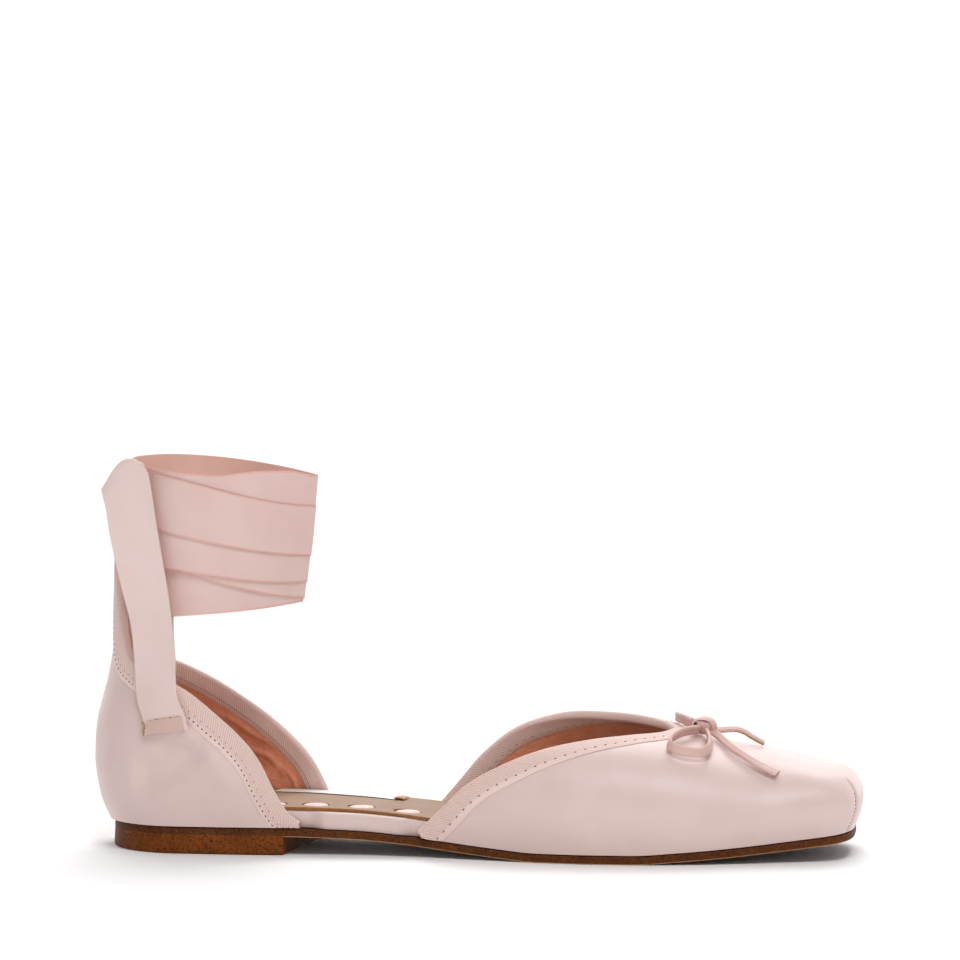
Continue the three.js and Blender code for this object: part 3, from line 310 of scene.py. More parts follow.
class Edge:
    """The sole's edge on one side, from the middle of the heel to the middle of the toe."""

    def __init__(self, side):
        self.side = side
        width = reader(SOLE_WIDTHS, 0, 1 if side == LATERAL else 2)
        turn = np.linspace(0, np.pi / 2, 97)[:-1]
        radius = HEEL_ROUND_CENTRE - SOLE_BACK
        heel = np.column_stack([
            HEEL_ROUND_CENTRE - radius * np.cos(turn),
            width(HEEL_ROUND_CENTRE) * np.sin(turn),
        ])
        x = np.arange(HEEL_ROUND_CENTRE, TOE_ROUND_START, 0.5)
        middle = np.column_stack([x, width(x)])
        turn = np.linspace(0, np.pi / 2, 241)
        power = 2 / TOE_BOXINESS
        x = TOE_ROUND_START + (SOLE_FRONT - TOE_ROUND_START) * np.sin(turn) ** power
        y = width(x) * np.abs(np.cos(turn)) ** power
        y[-1] = 0
        flat = np.concatenate([heel, middle, np.column_stack([x, y])])
        self.points = np.column_stack([flat[:, 0], side * flat[:, 1], np.zeros(len(flat))])
        self.along = lengths(self.points)
        self.total = self.along[-1]

    def at(self, distance):
        return read_run(self.points, self.along, np.clip(distance, 0, self.total))

    def outward(self, distance):
        along = unit(self.at(np.asarray(distance) + 1.5) - self.at(np.asarray(distance) - 1.5))
        out = np.zeros_like(along)
        out[..., 0] = along[..., 1] * -self.side
        out[..., 1] = along[..., 0] * self.side
        return out

    def distance_at(self, x):
        return float(np.interp(x, self.points[:, 0], self.along))


EDGES = {side: Edge(side) for side in (LATERAL, MEDIAL)}


def weld(grid):
    """Points of a grid with equal ones joined, and the index of each grid place."""
    flat = grid.reshape(-1, 3)
    keys = np.round(flat * 1e4).astype(np.int64)
    _, first, inverse = np.unique(keys, axis=0, return_index=True, return_inverse=True)
    return flat[first], inverse.reshape(grid.shape[:2]), first


def quads_of(index):
    return np.stack([index[:-1, :-1], index[1:, :-1], index[1:, 1:], index[:-1, 1:]], -1).reshape(-1, 4)


def without_repeats(quad):
    """The corners with repeated neighbours dropped; nothing where no face is left."""
    kept = [q for k, q in enumerate(quad) if q != quad[k - 1]]
    return kept if len(set(kept)) >= 3 else []


def ring_faces(base, rounds, around):
    """Quads between rings of points that follow each other in one list."""
    starts = [(base + k * around, j) for k in range(rounds) for j in range(around)]
    corners = [(start + j, start + (j + 1) % around) for start, j in starts]
    return [[a, b, b + around, a + around] for a, b in corners]


def grid_normals(grid):
    points, index, _ = weld(grid)
    quads = quads_of(index)
    normal = np.cross(points[quads[:, 2]] - points[quads[:, 0]], points[quads[:, 3]] - points[quads[:, 1]])
    total = np.zeros_like(points)
    for k in range(4):
        np.add.at(total, quads[:, k], normal)
    return unit(total)[index]


def grid_uv(grid):
    """Distances along and across a grid, in millimetres."""
    middle = grid[:, grid.shape[1] // 2]
    u = np.broadcast_to(lengths(middle)[:, None], grid.shape[:2])
    steps = np.linalg.norm(np.diff(grid, axis=1), axis=2)
    v = np.concatenate([np.zeros((len(grid), 1)), np.cumsum(steps, axis=1)], axis=1)
    return np.stack([u, v], -1)


def object_from(name, points, faces, uvs=None, slots=None, materials=(), closed=True, sharp=35):
    """A Blender mesh in metres from points in millimetres."""
    mesh = bpy.data.meshes.new(name)
    mesh.from_pydata((np.asarray(points) / 1000).tolist(), [], faces)
    if uvs is not None:
        layer = mesh.uv_layers.new(name="UVMap")
        layer.data.foreach_set("uv", np.asarray(uvs, np.float32).ravel())
    for material in materials:
        mesh.materials.append(material)
    if slots is not None:
        mesh.polygons.foreach_set("material_index", slots)
    bm = bmesh.new()
    bm.from_mesh(mesh)
    if closed:
        bmesh.ops.recalc_face_normals(bm, faces=bm.faces)
    limit = math.radians(sharp)
    for face in bm.faces:
        face.smooth = True
    for edge in bm.edges:
        edge.smooth = len(edge.link_faces) != 2 or edge.calc_face_angle(0) < limit
    bm.to_mesh(mesh)
    bm.free()
    piece = bpy.data.objects.new(name, mesh)
    bpy.context.scene.collection.objects.link(piece)
    return piece


def sheet_piece(name, grids, materials, uv=None, slots=(0, 0, 0), sharp=35, edge_slot=None):
    """A body between a front grid and a back grid, or the front alone. Slots: front, back, rim."""
    last_column = grids[0].shape[1] - 2
    front = grids[0]
    uv = grid_uv(front) if uv is None else uv
    points, index, first = weld(front)
    flat_uv = uv.reshape(-1, 2)
    faces, face_uvs, face_slots = [], [], []
    quads = quads_of(index)
    places = quads_of(np.arange(index.size).reshape(index.shape))
    size = len(points)
    double = len(grids) > 1
    border = {}
    for quad, place in zip(quads.tolist(), places.tolist()):
        kept = [(q, p) for k, (q, p) in enumerate(zip(quad, place)) if q != quad[k - 1]]
        if len({q for q, _ in kept}) < 3:
            continue
        faces.append([q for q, _ in kept])
        face_uvs.extend(flat_uv[p] for _, p in kept)
        at_edge = edge_slot is not None and place[0] % (last_column + 2) in (0, last_column)
        face_slots.append(edge_slot if at_edge else slots[0])
        for k, (q, p) in enumerate(kept):
            after = kept[(k + 1) % len(kept)]
            if (after[0], q) in border:
                del border[(after[0], q)]
            else:
                border[(q, after[0])] = (p, after[1])
    if double:
        points = np.concatenate([points, grids[1].reshape(-1, 3)[first]])
        at = 0
        for face in list(faces):
            count = len(face)
            faces.append([q + size for q in reversed(face)])
            face_uvs.extend(reversed(face_uvs[at:at + count]))
            face_slots.append(slots[1])
            at += count
        for (a, b), (pa, pb) in border.items():
            faces.append([b, a, a + size, b + size])
            face_uvs.extend([flat_uv[pb], flat_uv[pa], flat_uv[pa], flat_uv[pb]])
            face_slots.append(slots[2])
    return object_from(name, points, faces, face_uvs, face_slots, materials, double, sharp)


def tube_piece(name, rings, materials):
    """A closed tube through rings of points; its two end faces are the last ones."""
    count, size = rings.shape[:2]
    uv = grid_uv(np.concatenate([rings, rings[:, :1]], axis=1))
    faces = ring_faces(0, count - 1, size)
    face_uvs = []
    for i in range(count - 1):
        for j in range(size):
            face_uvs += [uv[i, j], uv[i, j + 1], uv[i + 1, j + 1], uv[i + 1, j]]
    for i in (0, count - 1):
        faces.append([i * size + j for j in range(size)])
        face_uvs += [uv[i, j] for j in range(size)]
    return object_from(name, rings.reshape(-1, 3), faces, face_uvs, None, materials, sharp=60)


def face_outward(piece, join=False):
    """Turns the faces outward, after joining equal points where asked."""
    bm = bmesh.new()
    bm.from_mesh(piece.data)
    if join:
        bmesh.ops.remove_doubles(bm, verts=bm.verts, dist=1e-6)
    bmesh.ops.recalc_face_normals(bm, faces=bm.faces)
    bm.to_mesh(piece.data)
    bm.free()


def nearest_on(grid):
    """The nearest place on a sheet, with its normal there."""
    points, index, _ = weld(grid)
    faces = [kept for kept in map(without_repeats, quads_of(index).tolist()) if kept]
    normals = grid_normals(grid).reshape(-1, 3)
    first = np.zeros(len(points), int)
    first[index.ravel()] = np.arange(index.size)
    point_normals = normals[first]
    tree = BVHTree.FromPolygons([Vector(p) for p in points], faces)

    def nearest(place):
        found, _, face, _ = tree.find_nearest(Vector(place))
        corners = faces[face]
        gap = np.linalg.norm(points[corners] - np.array(found), axis=1)
        share = 1 / np.maximum(gap, 1e-6)
        return np.array(found), unit((point_normals[corners] * share[:, None]).sum(0))

    return nearest


def linear(colour):
    """Linear colour from 0 to 255 display values."""
    c = np.array(colour, float) / 255
    return tuple(np.where(c <= 0.04045, c / 12.92, ((c + 0.055) / 1.055) ** 2.4)) + (1.0,)


class Nodes:
    """Short hand for building one material's nodes."""

    def __init__(self, name):
        self.material = bpy.data.materials.new(name)
        self.material.use_nodes = True
        self.tree = self.material.node_tree
        self.shader = self.tree.nodes["Principled BSDF"]

    def put(self, socket, value):
        if isinstance(value, bpy.types.NodeSocket):
            self.tree.links.new(value, socket)
        else:
            socket.default_value = value

    def add(self, kind, inputs=None, **settings):
        node = self.tree.nodes.new("ShaderNode" + kind)
        for key, value in settings.items():
            setattr(node, key, value)
        for key, value in (inputs or {}).items():
            self.put(node.inputs[key], value)
        return node

    def coords(self, turn=0.0, source="UV", scale=1):
        inputs = {"Vector": self.add("TexCoord").outputs[source]}
        return self.add("Mapping", {**inputs, "Scale": (scale,) * 3, "Rotation": (0, 0, turn)}).outputs[0]

    def solid(self, turn=0.0):
        """Places in the object, in millimetres."""
        return self.coords(turn, "Object", 1000)

    def noise(self, place, scale, detail=3.0, rough=0.5):
        inputs = {"Vector": place, "Scale": scale, "Detail": detail, "Roughness": rough}
        return self.add("TexNoise", inputs).outputs["Fac"]

    def bands(self, place, scale, distortion=0.0):
        inputs = {"Vector": place, "Scale": scale, "Distortion": distortion}
        return self.add("TexWave", inputs, wave_type="BANDS", bands_direction="X").outputs["Fac"]

    def ramp(self, factor, stops):
        node = self.add("ValToRGB", {"Fac": factor})
        elements = node.color_ramp.elements
        while len(elements) < len(stops):
            elements.new(0.5)
        for element, (place, colour) in zip(elements, stops):
            element.position = place
            element.color = colour
        return node.outputs["Color"]

    def blend(self, factor, a, b, mode="MIX"):
        node = self.add("Mix", data_type="RGBA", blend_type=mode)
        for place, value in ((0, factor), (6, a), (7, b)):
            self.put(node.inputs[place], value)
        return node.outputs[2]

    def maths(self, operation, a, b=0.0):
        node = self.add("Math", operation=operation)
        for socket, value in zip(node.inputs, (a, b)):
            self.put(socket, value)
        return node.outputs[0]

    def bump(self, height, strength, distance, before=None):
        inputs = {"Height": height, "Strength": strength, "Distance": distance}
        if before is not None:
            inputs["Normal"] = before
        return self.add("Bump", inputs).outputs[0]

    def finish(self, colour, roughness, normal=None, **plain):
        for key, value in (("Base Color", colour), ("Roughness", roughness), ("Normal", normal)):
            if value is not None:
                self.put(self.shader.inputs[key], value)
        for key, value in plain.items():
            self.shader.inputs[key.replace("_", " ")].default_value = value
        return self.material


def satin_material(name, colour, shade, roughness=0.4, crumple=0.25, weave=0.12, sheen=0.03, shine=0.42):
    """Duchess satin: fine cross threads, faint cloudiness and small soft dents."""
    n = Nodes(name)
    place = n.coords()
    cloud = n.noise(place, 0.06, 2)
    tint = n.ramp(cloud, [(0.2, linear(shade)), (0.62, linear(colour))])
    threads = n.bands(place, 0.9, 0.6)
    cross = n.bands(n.coords(math.pi / 2), 0.55, 0.6)
    fine = n.maths("ADD", threads, n.maths("MULTIPLY", cross, 0.6))
    tint = n.blend(n.maths("MULTIPLY", fine, 0.05), tint, linear((150, 120, 112)), "MULTIPLY")
    rough = n.maths("ADD", n.maths("MULTIPLY", n.noise(place, 0.2, 2), 0.04), roughness - 0.02)
    dents = n.bump(n.noise(place, 0.09, 4, 0.45), crumple, 0.001)
    normal = n.bump(fine, weave, 0.00012, dents)
    return n.finish(tint, rough, normal, Sheen_Weight=sheen, Sheen_Roughness=0.35,
                    Sheen_Tint=linear((255, 240, 236)), Specular_IOR_Level=shine)


def tape_material(name, colour, shade):
    """Edge tape: close slanting ribs that stop at the stitches, then a smooth hem."""
    n = Nodes(name)
    place = n.coords()
    away = n.add("SeparateXYZ", {"Vector": place}).outputs["Y"]
    ribbed = n.add("MapRange", {"Value": away, "From Min": -6.3, "From Max": -5.9}).outputs["Result"]
    ribs = n.maths("MULTIPLY", n.bands(n.coords(math.radians(-36)), 0.45, 0.2), ribbed)
    fine = n.bands(n.coords(math.radians(54)), 0.85, 0.4)
    cloud = n.noise(place, 0.15, 4)
    # Darker between the ribs and lighter on them: painted shade in the grooves, following the rib bump
    rib_painted_shade = n.maths("ADD", ribs, n.maths("SUBTRACT", 1.0, ribbed))
    tint = n.ramp(rib_painted_shade, [(0.1, linear(shade)), (0.75, linear(colour))])
    tint = n.blend(n.maths("MULTIPLY", cloud, 0.12), tint, linear((214, 180, 168)))
    normal = n.bump(fine, 0.15, 0.00006, n.bump(ribs, 0.5, 0.0002))
    return n.finish(tint, 0.62, normal, Sheen_Weight=0.2, Sheen_Roughness=0.5, Specular_IOR_Level=0.3)


def lining_material(name, colour, shade):
    """Thin coral lining fabric with a plain weave."""
    n = Nodes(name)
    place = n.coords()
    tint = n.ramp(n.noise(place, 0.05, 5, 0.6), [(0.32, linear(shade)), (0.66, linear(colour))])
    weave = n.maths("MULTIPLY", n.bands(place, 0.5, 0.5), n.bands(n.coords(math.pi / 2), 0.5, 0.5))
    normal = n.bump(weave, 0.2, 0.0001, n.bump(n.noise(place, 0.17, 4, 0.6), 0.75, 0.0016))
    return n.finish(tint, 0.6, normal, Sheen_Weight=0.3, Sheen_Roughness=0.5)


def sock_material(name, colour, shade):
    """Tan suede-like sheet with a fine grain."""
    n = Nodes(name)
    place = n.solid()
    grain = n.noise(place, 1.4, 6, 0.7)
    cloud = n.noise(place, 0.06, 3)
    tint = n.ramp(cloud, [(0.3, linear(shade)), (0.7, linear(colour))])
    tint = n.blend(n.maths("MULTIPLY", grain, 0.22), tint, linear((150, 112, 84)))
    normal = n.bump(grain, 0.35, 0.00025)
    return n.finish(tint, 0.78, normal, Sheen_Weight=0.2, Sheen_Roughness=0.6)


def sole_material(name, dark_base, light_base):
    """Brown composition with dense dark specks and a few golden ones."""
    n = Nodes(name)
    place = n.solid()
    cloud = n.noise(place, 0.11, 5, 0.6)
    tint = n.ramp(cloud, [(0.3, linear(dark_base)), (0.68, linear(light_base))])
    specks = n.noise(place, 1.7, 2, 0.5)
    dark = n.ramp(specks, [(0.54, (0, 0, 0, 1)), (0.62, (1, 1, 1, 1))])
    tint = n.blend(n.maths("MULTIPLY", dark, 0.85), tint, linear((46, 21, 8)))
    flecks = n.noise(n.solid(1.0), 2.3, 2)
    pale = n.ramp(flecks, [(0.62, (0, 0, 0, 1)), (0.7, (1, 1, 1, 1))])
    tint = n.blend(n.maths("MULTIPLY", pale, 0.6), tint, linear((158, 104, 46)))
    normal = n.bump(specks, 0.3, 0.0003, n.bump(cloud, 0.15, 0.001))
    return n.finish(tint, 0.6, normal, Specular_IOR_Level=0.14)


def plain_material(name, colour, shade, roughness=0.6, scale=0.8, strength=0.25):
    """A small part's finish: slight mottling and grain."""
    n = Nodes(name)
    place = n.solid()
    grain = n.noise(place, scale, 5, 0.6)
    tint = n.ramp(grain, [(0.35, linear(shade)), (0.68, linear(colour))])
    return n.finish(tint, roughness, n.bump(grain, strength, 0.0002))


SATIN = satin_material("satin", (226, 201, 196), (221, 195, 189), 0.36)
BOW_SATIN = satin_material("bow_satin", (220, 184, 175), (208, 168, 159), 0.42, 0.15, 0.2)
RIBBON = satin_material("ribbon", (226, 196, 190), (220, 187, 180), 0.36, 0.08, 0.2, 0.05, 0.3)
# The straps are the turns' ribbon coloured lighter: painted sheen
STRAP_RIBBON_PAINTED_SHEEN = satin_material("strap_ribbon_painted_sheen", (236, 211, 206), (231, 204, 198), 0.3, 0.1, 0.12, 0.05, 0.6)
# The turns' inner face, lighter and pinker than the outer face: painted light shining through the ribbon into the
# shaded inside
RIBBON_INSIDE_PAINTED_LIGHT = satin_material("ribbon_inside_painted_light", (240, 204, 193), (232, 192, 180), 0.4, 0.08, 0.2, 0.05)
# Coral rims and edge rows of the turns: painted shade along the overlapping edges
RIBBON_EDGE_PAINTED_SHADE = plain_material("ribbon_edge_painted_shade", (226, 182, 173), (216, 168, 158), 0.6, 0.6)
RIBBON_FOLD = satin_material("ribbon_fold", (216, 184, 175), (207, 173, 163), 0.45, 0.08, 0.2)
TAPE = tape_material("tape", (234, 208, 200), (217, 184, 174))
LINING = lining_material("lining", (226, 152, 116), (208, 128, 92))
SOCK = sock_material("sock", (160, 125, 94), (146, 111, 82))
HEEL_BROWN = sole_material("heel_brown", (102, 50, 10), (132, 70, 18))
SOLE = sole_material("sole", (78, 38, 12), (100, 54, 20))
RAW_EDGE = plain_material("raw_edge", (170, 116, 66), (134, 84, 44), 0.8, 2.0)
GOLD_END = plain_material("gold_end", (196, 156, 84), (150, 108, 48), 0.55, 2.5)
# Darker rim of the tapes: painted shade along the tape's lifted edge
TAPE_RIM_PAINTED_SHADE = plain_material("tape_rim_painted_shade", (196, 158, 148), (166, 126, 116), 0.7, 1.5)
PAD = plain_material("pad", (240, 216, 208), (226, 192, 182), 0.6, 0.5)
WHITE = plain_material("label_white", (226, 230, 227), (216, 219, 216), 0.55, 1.6, 0.12)
# Dark grey rim round the label: painted shade along its edge
LABEL_RIM_PAINTED_SHADE = plain_material("label_rim_painted_shade", (120, 116, 106), (92, 88, 80), 0.7, 1.6, 0.12)
THREAD = plain_material("dark_thread", (122, 56, 56), (92, 36, 38), 0.7, 2.0)
PALE_THREAD = plain_material("pale_thread", (236, 212, 200), (206, 172, 158), 0.7, 2.0)
GREY_THREAD = plain_material("grey_thread", (176, 160, 142), (146, 128, 110), 0.7, 2.0)
# Tan of the label's tab, and also a painted highlight along the outsole's lower edge
TAN_TAB_AND_SOLE_HIGHLIGHT = plain_material("tan_tab_and_painted_sole_highlight", (206, 158, 110), (178, 128, 84), 0.7, 1.2)
FLOOR = plain_material("floor_white", (250, 250, 250), (248, 248, 248), 0.9, 0.01, 0.0)


def slab_rings(profile, shares, ends=None, last_x=SOLE_FRONT, across=6, hollow=0.0):
    """Cross rings of a flat piece. Profile rows: inset and height, from the top's rim down to the underside's."""
    sides = {}
    for side, edge in EDGES.items():
        reach = ends[side] if ends else edge.distance_at(last_x) if last_x < SOLE_FRONT else edge.total
        distance = reach * shares
        base, outward = edge.at(distance), edge.outward(distance)
        rows = []
        for inset, height in profile:
            amount = inset(base[:, 0], side) if callable(inset) else np.full(len(base), float(inset))
            point = base - outward * amount[:, None]
            point[:, 1] = np.minimum(point[:, 1], 0) if side == LATERAL else np.maximum(point[:, 1], 0)
            point[:, 2] = height(point[:, 0])
            rows.append(point)
        sides[side] = rows

    def between(a, b, height):
        made = []
        for k in range(1, across):
            t = k / across
            point = mix(a, b, t)
            point[:, 0] -= hollow * math.sin(math.pi * t) * shares**3
            point[:, 2] = height(point[:, 0])
            made.append(point)
        return made

    low, high = profile[-1][1], profile[0][1]
    ring = [
        *sides[LATERAL],
        *between(sides[LATERAL][-1], sides[MEDIAL][-1], low),
        *reversed(sides[MEDIAL]),
        *between(sides[MEDIAL][0], sides[LATERAL][0], high),
    ]
    return np.stack([*ring, ring[0]], axis=1)


def slab_piece(name, rings, materials, slots=None, cap_front=False):
    """A closed flat piece through cross rings. Slots: one number for each column of the rings."""
    points, index, _ = weld(rings)
    faces, face_slots = [], []
    for k, quad in enumerate(quads_of(index).tolist()):
        kept = without_repeats(quad)
        if kept:
            faces.append(kept)
            face_slots.append(slots[k % (rings.shape[1] - 1)] if slots else 0)
    if cap_front:
        faces.append(index[-1, :-1].tolist())
        face_slots.append(0)
    return object_from(name, points, faces, None, face_slots, materials)


def finish_piece(piece, slot, *nodes):
    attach(piece, "root")
    if nodes:
        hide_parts(*nodes)
    return piece


def crowded_shares(count, amount=0.9):
    """Shares from 0 to 1, closer together at both ends."""
    t = np.linspace(0, 1, int(count * FINE) + 1)
    return t - amount * np.sin(2 * np.pi * t) / (2 * np.pi)


def column_slots(rings, marked):
    """Slot 1 for the marked columns of the rings, 0 for the rest."""
    return [int(k in marked) for k in range(rings.shape[1] - 1)]


def outsole_piece():
    profile = [(0.25, outsole_top), (0.05, lambda x: outsole_top(x) - 0.2)]
    profile.append((0.0, lambda x: sole_underside(x) + OUTSOLE_ROUNDING * 1.5))
    profile.append((0.0, lambda x: sole_underside(x) + OUTSOLE_ROUNDING))
    for k in range(1, 5):
        a = math.pi / 2 * k / 4
        drop = OUTSOLE_ROUNDING * (1 - math.sin(a))
        profile.append((OUTSOLE_ROUNDING * (1 - math.cos(a)), lambda x, drop=drop: sole_underside(x) + drop))
    rings = slab_rings(profile, crowded_shares(260))
    # The lower edge's columns get the light tan: a painted highlight of light from the floor
    slots = column_slots(rings, OUTSOLE_HIGHLIGHT_COLUMNS)
    return finish_piece(slab_piece("outsole_body", rings, [SOLE, TAN_TAB_AND_SOLE_HIGHLIGHT], slots), "sole", "outsole")


def heel_piece():
    top = float(sole_underside(0))
    rows = [(0.3, top + 0.55), (0.02, top + 0.5), (0.02, top), (-0.15, 2.6)]
    rows += [(-0.25, 1.3), (-0.22, 0.8), (-0.08, 0.4), (0.25, 0.12), (0.8, 0)]
    profile = [(inset, lambda x, z=z: np.full(np.shape(x), z)) for inset, z in rows]
    shares = crowded_shares(90, 0.5)
    ends = {side: EDGES[side].distance_at(HEEL_BREAST[side]) for side in EDGES}
    rings = slab_rings(profile, shares, ends, across=12, hollow=HEEL_BREAST_HOLLOW)
    return finish_piece(slab_piece("heel_body", rings, [HEEL_BROWN], cap_front=True), "sole", "heel_block")


def board_inset(extra):
    def inset(x, side):
        back, front = WAIST[side]
        opened = smoothstep(x, back - WAIST_BLEND, back + WAIST_BLEND)
        opened = opened * (1 - smoothstep(x, front - WAIST_BLEND, front + WAIST_BLEND))
        return mix(BOARD_INSET_UNDER_UPPER, BOARD_INSET_AT_WAIST, opened) + extra

    return inset


def board_piece():
    """Wrapped insole board; its side is the satin rand that shows at the waist."""
    def lift(share):
        return lambda x: board_bottom(x) + board_thickness(x) * share

    rows = [(1.5, 1.0), (0.95, 0.985), (0.5, 0.93), (0.2, 0.84), (0.04, 0.7), (0.0, 0.5), (0.06, 0.3)]
    rows += [(0.22, 0.12), (0.5, 0.0)]
    profile = [(board_inset(extra), lift(share)) for extra, share in rows]
    rings = slab_rings(profile, crowded_shares(300, 0.4))
    piece = sheet_piece("board_wrap", [rings], [SATIN])
    face_outward(piece)
    return finish_piece(piece, "satin", "insole_board")


def window_centres():
    edge = EDGES[LATERAL]
    made = []
    for i in range(WINDOW_COUNT):
        distance = edge.distance_at(WINDOW_FIRST_X + i * WINDOW_STEP)
        made.append(edge.at(distance) - edge.outward(distance) * WINDOW_FROM_EDGE)
    return made


def sock_piece():
    """Tan sock with its round windows cut through; cut faces keep the cutter's darker finish."""
    def lift(amount):
        return lambda x: sock_bottom(x) + amount

    profile = [(SOCK_INSET + 0.12, lift(0.8)), (SOCK_INSET, lift(0.68)), (SOCK_INSET, lift(0.1)),
               (SOCK_INSET + 0.1, lift(-0.2))]
    rings = slab_rings(profile, crowded_shares(220, 0.5), last_x=SOCK_FRONT, across=12)
    sock = slab_piece("sock_sheet", rings, [SOCK, RAW_EDGE], column_slots(rings, SOCK_EDGE_COLUMNS))
    bm = bmesh.new()
    for centre in window_centres():
        ring = [(centre[0] + WINDOW_RADIUS * math.cos(a), centre[1] + WINDOW_RADIUS * math.sin(a))
                for a in np.linspace(0, 2 * math.pi, WINDOW_CORNERS + 1)[:-1]]
        z = float(sock_bottom(centre[0]))
        low, high = (
            [bm.verts.new((x / 1000, y / 1000, level / 1000)) for x, y in ring] for level in (z - 2, z + 2)
        )
        bm.faces.new(list(reversed(low)))
        bm.faces.new(high)
        for k in range(WINDOW_CORNERS):
            after = (k + 1) % WINDOW_CORNERS
            bm.faces.new([low[k], low[after], high[after], high[k]])
    mesh = bpy.data.meshes.new("cutter")
    bm.to_mesh(mesh)
    bm.free()
    mesh.materials.append(RAW_EDGE)
    cutter = bpy.data.objects.new("cutter", mesh)
    bpy.context.scene.collection.objects.link(cutter)
    cut = sock.modifiers.new("windows", "BOOLEAN")
    cut.object = cutter
    cut.operation = "DIFFERENCE"
    cut.solver = "EXACT"
    cut.material_mode = "TRANSFER"
    graph = bpy.context.evaluated_depsgraph_get()
    baked = bpy.data.meshes.new_from_object(sock.evaluated_get(graph))
    sock.modifiers.clear()
    sock.data = baked
    bpy.data.objects.remove(cutter)
    return finish_piece(sock, "insole", "insole_sock")


def window_pads():
    """Soft domes that show through the sock's windows."""
    points, faces = [], []
    rings, around = 8, 40
    for centre in window_centres():
        faces += ring_faces(len(points), rings, around)
        for share in np.arange(rings + 1) / rings:
            radius = PAD_RADIUS * share
            z = float(board_top(centre[0])) + 0.1 + PAD_HEIGHT * (1 - share**6) ** 0.6
            for a in np.linspace(0, 2 * math.pi, around + 1)[:-1]:
                points.append((centre[0] + radius * math.cos(a), centre[1] + radius * math.sin(a), z))
    piece = object_from("window_pads", points, faces, None, None, [PAD], False)
    face_outward(piece, join=True)
    return finish_piece(piece, "satin")


def label_piece():
    """Blank white label on the sock, with a turned tan tab at its front end."""
    steps, across, thick = 40, 12, 0.3
    near_back, near_front, far_front, far_back = [np.array(c) for c in LABEL_CORNERS]
    grid = np.zeros((steps + 1, across + 1, 3))
    for i in range(steps + 1):
        t = i / steps
        near, far = mix(near_back, near_front, t), mix(far_back, far_front, t)
        for j in range(across + 1):
            s = j / across
            x, y = mix(near, far, s)
            lift = 0.25 + 0.12 * math.sin(math.pi * s) + 0.1 * math.sin(math.pi * t)
            grid[i, j] = x, y, sock_bottom(x) + SOCK_THICK + lift
    normals = grid_normals(grid)
    down = normals * (-1 if normals[0, 0, 2] > 0 else 1)
    # The rim's dark grey is painted shade along the label's edge
    piece = sheet_piece("blank_label", [grid, grid + down * thick], [WHITE, LABEL_RIM_PAINTED_SHADE], None, (0, 0, 1))
    tab = np.zeros((7, 5, 3))
    for i in range(7):
        for j in range(5):
            x, y = mix(near_front, far_front, (j + 0.3) / 5) + np.array([-0.6 + 0.55 * i, 0])
            tab[i, j] = x, y, sock_bottom(x) + SOCK_THICK + 0.75 + 0.25 * math.sin(math.pi * i / 6)
    finish_piece(sheet_piece("label_tab", [tab, tab - np.array([0, 0, thick])], [TAN_TAB_AND_SOLE_HIGHLIGHT]), "label")
    return finish_piece(piece, "label", "insole_label")


def vamp_rib(base, outward, crest, boxiness, sweep, bulge, follow, rows):
    power = 2 / boxiness
    angle = sweep * np.linspace(0, 1, 161)
    across = (1 - np.abs(np.cos(angle)) ** power) / (1 - abs(math.cos(sweep)) ** power)
    up = np.sin(angle) ** power / math.sin(sweep) ** power
    out = bulge * np.sin(np.pi * np.clip(up, 0, 1))
    x = mix(base[0], crest[0], across)
    roof = mix(crest[2], ridge_height(x), follow)
    points = np.column_stack([
        x + outward[0] * out,
        mix(base[1], crest[1], across) + outward[1] * out,
        mix(base[2], roof, up),
    ])
    points[-1] = crest
    return evenly(points, rows)


# depth (ridges above zero), width, fade at the ends, then the points of the crease
QUARTER_CREASES = [
    (-3.0, 5.8, 7, [(0.5, -27.8, 38.5), (-4.0, -28.0, 32.0), (-11.0, -28.0, 27.0), (-22.0, -25.0, 25.0)]),
    (1.2, 4.5, 9, [(2.0, -28, 38.5), (6.0, -28.4, 33.0), (10.5, -28.6, 25.5), (14.0, -28.6, 17.0)]),
    (-0.6, 6.0, 10, [(-27.5, -14.0, 44.0), (-29.5, -12.0, 34.0), (-30.5, -10.0, 24.0)]),
    (-0.5, 3.0, 6, [(22, 22.5, 40), (14, 24, 34), (6, 24.5, 29)]),
]
# x, y lateral, y medial, z
TOE_SEAM_ROWS = [
    (207.6, -17.6, 20.9, 8.8), (209.2, -17.0, 20.2, 9.8), (211.2, -16.4, 19.4, 12.0), (212.7, -16.0, 19.0, 15.5),
    (213.4, -15.4, 18.2, 20), (213.0, -14.8, 17.4, 24), (210.0, -14.4, 16.6, 28.6),
]
TOE_SEAMS = [(-0.75, 0.75, 3.0, [(x, ys[k], z) for x, *ys, z in TOE_SEAM_ROWS]) for k in range(2)]
# The lining's wrinkles: distance from the free edge, height, width
QUARTER_WRINKLES = [(8.3, 0.9, 0.75), (11.4, 0.8, 0.9), (15.5, 0.7, 1.3)]
VAMP_CREASES = [
    (-0.5, 4.5, 8, [(150, -20, 32), (160, -18, 31.5), (170, -14, 31.5)]),
    (-0.35, 5.0, 9, [(120, -34, 20), (132, -35, 17), (146, -35, 16)]),
]


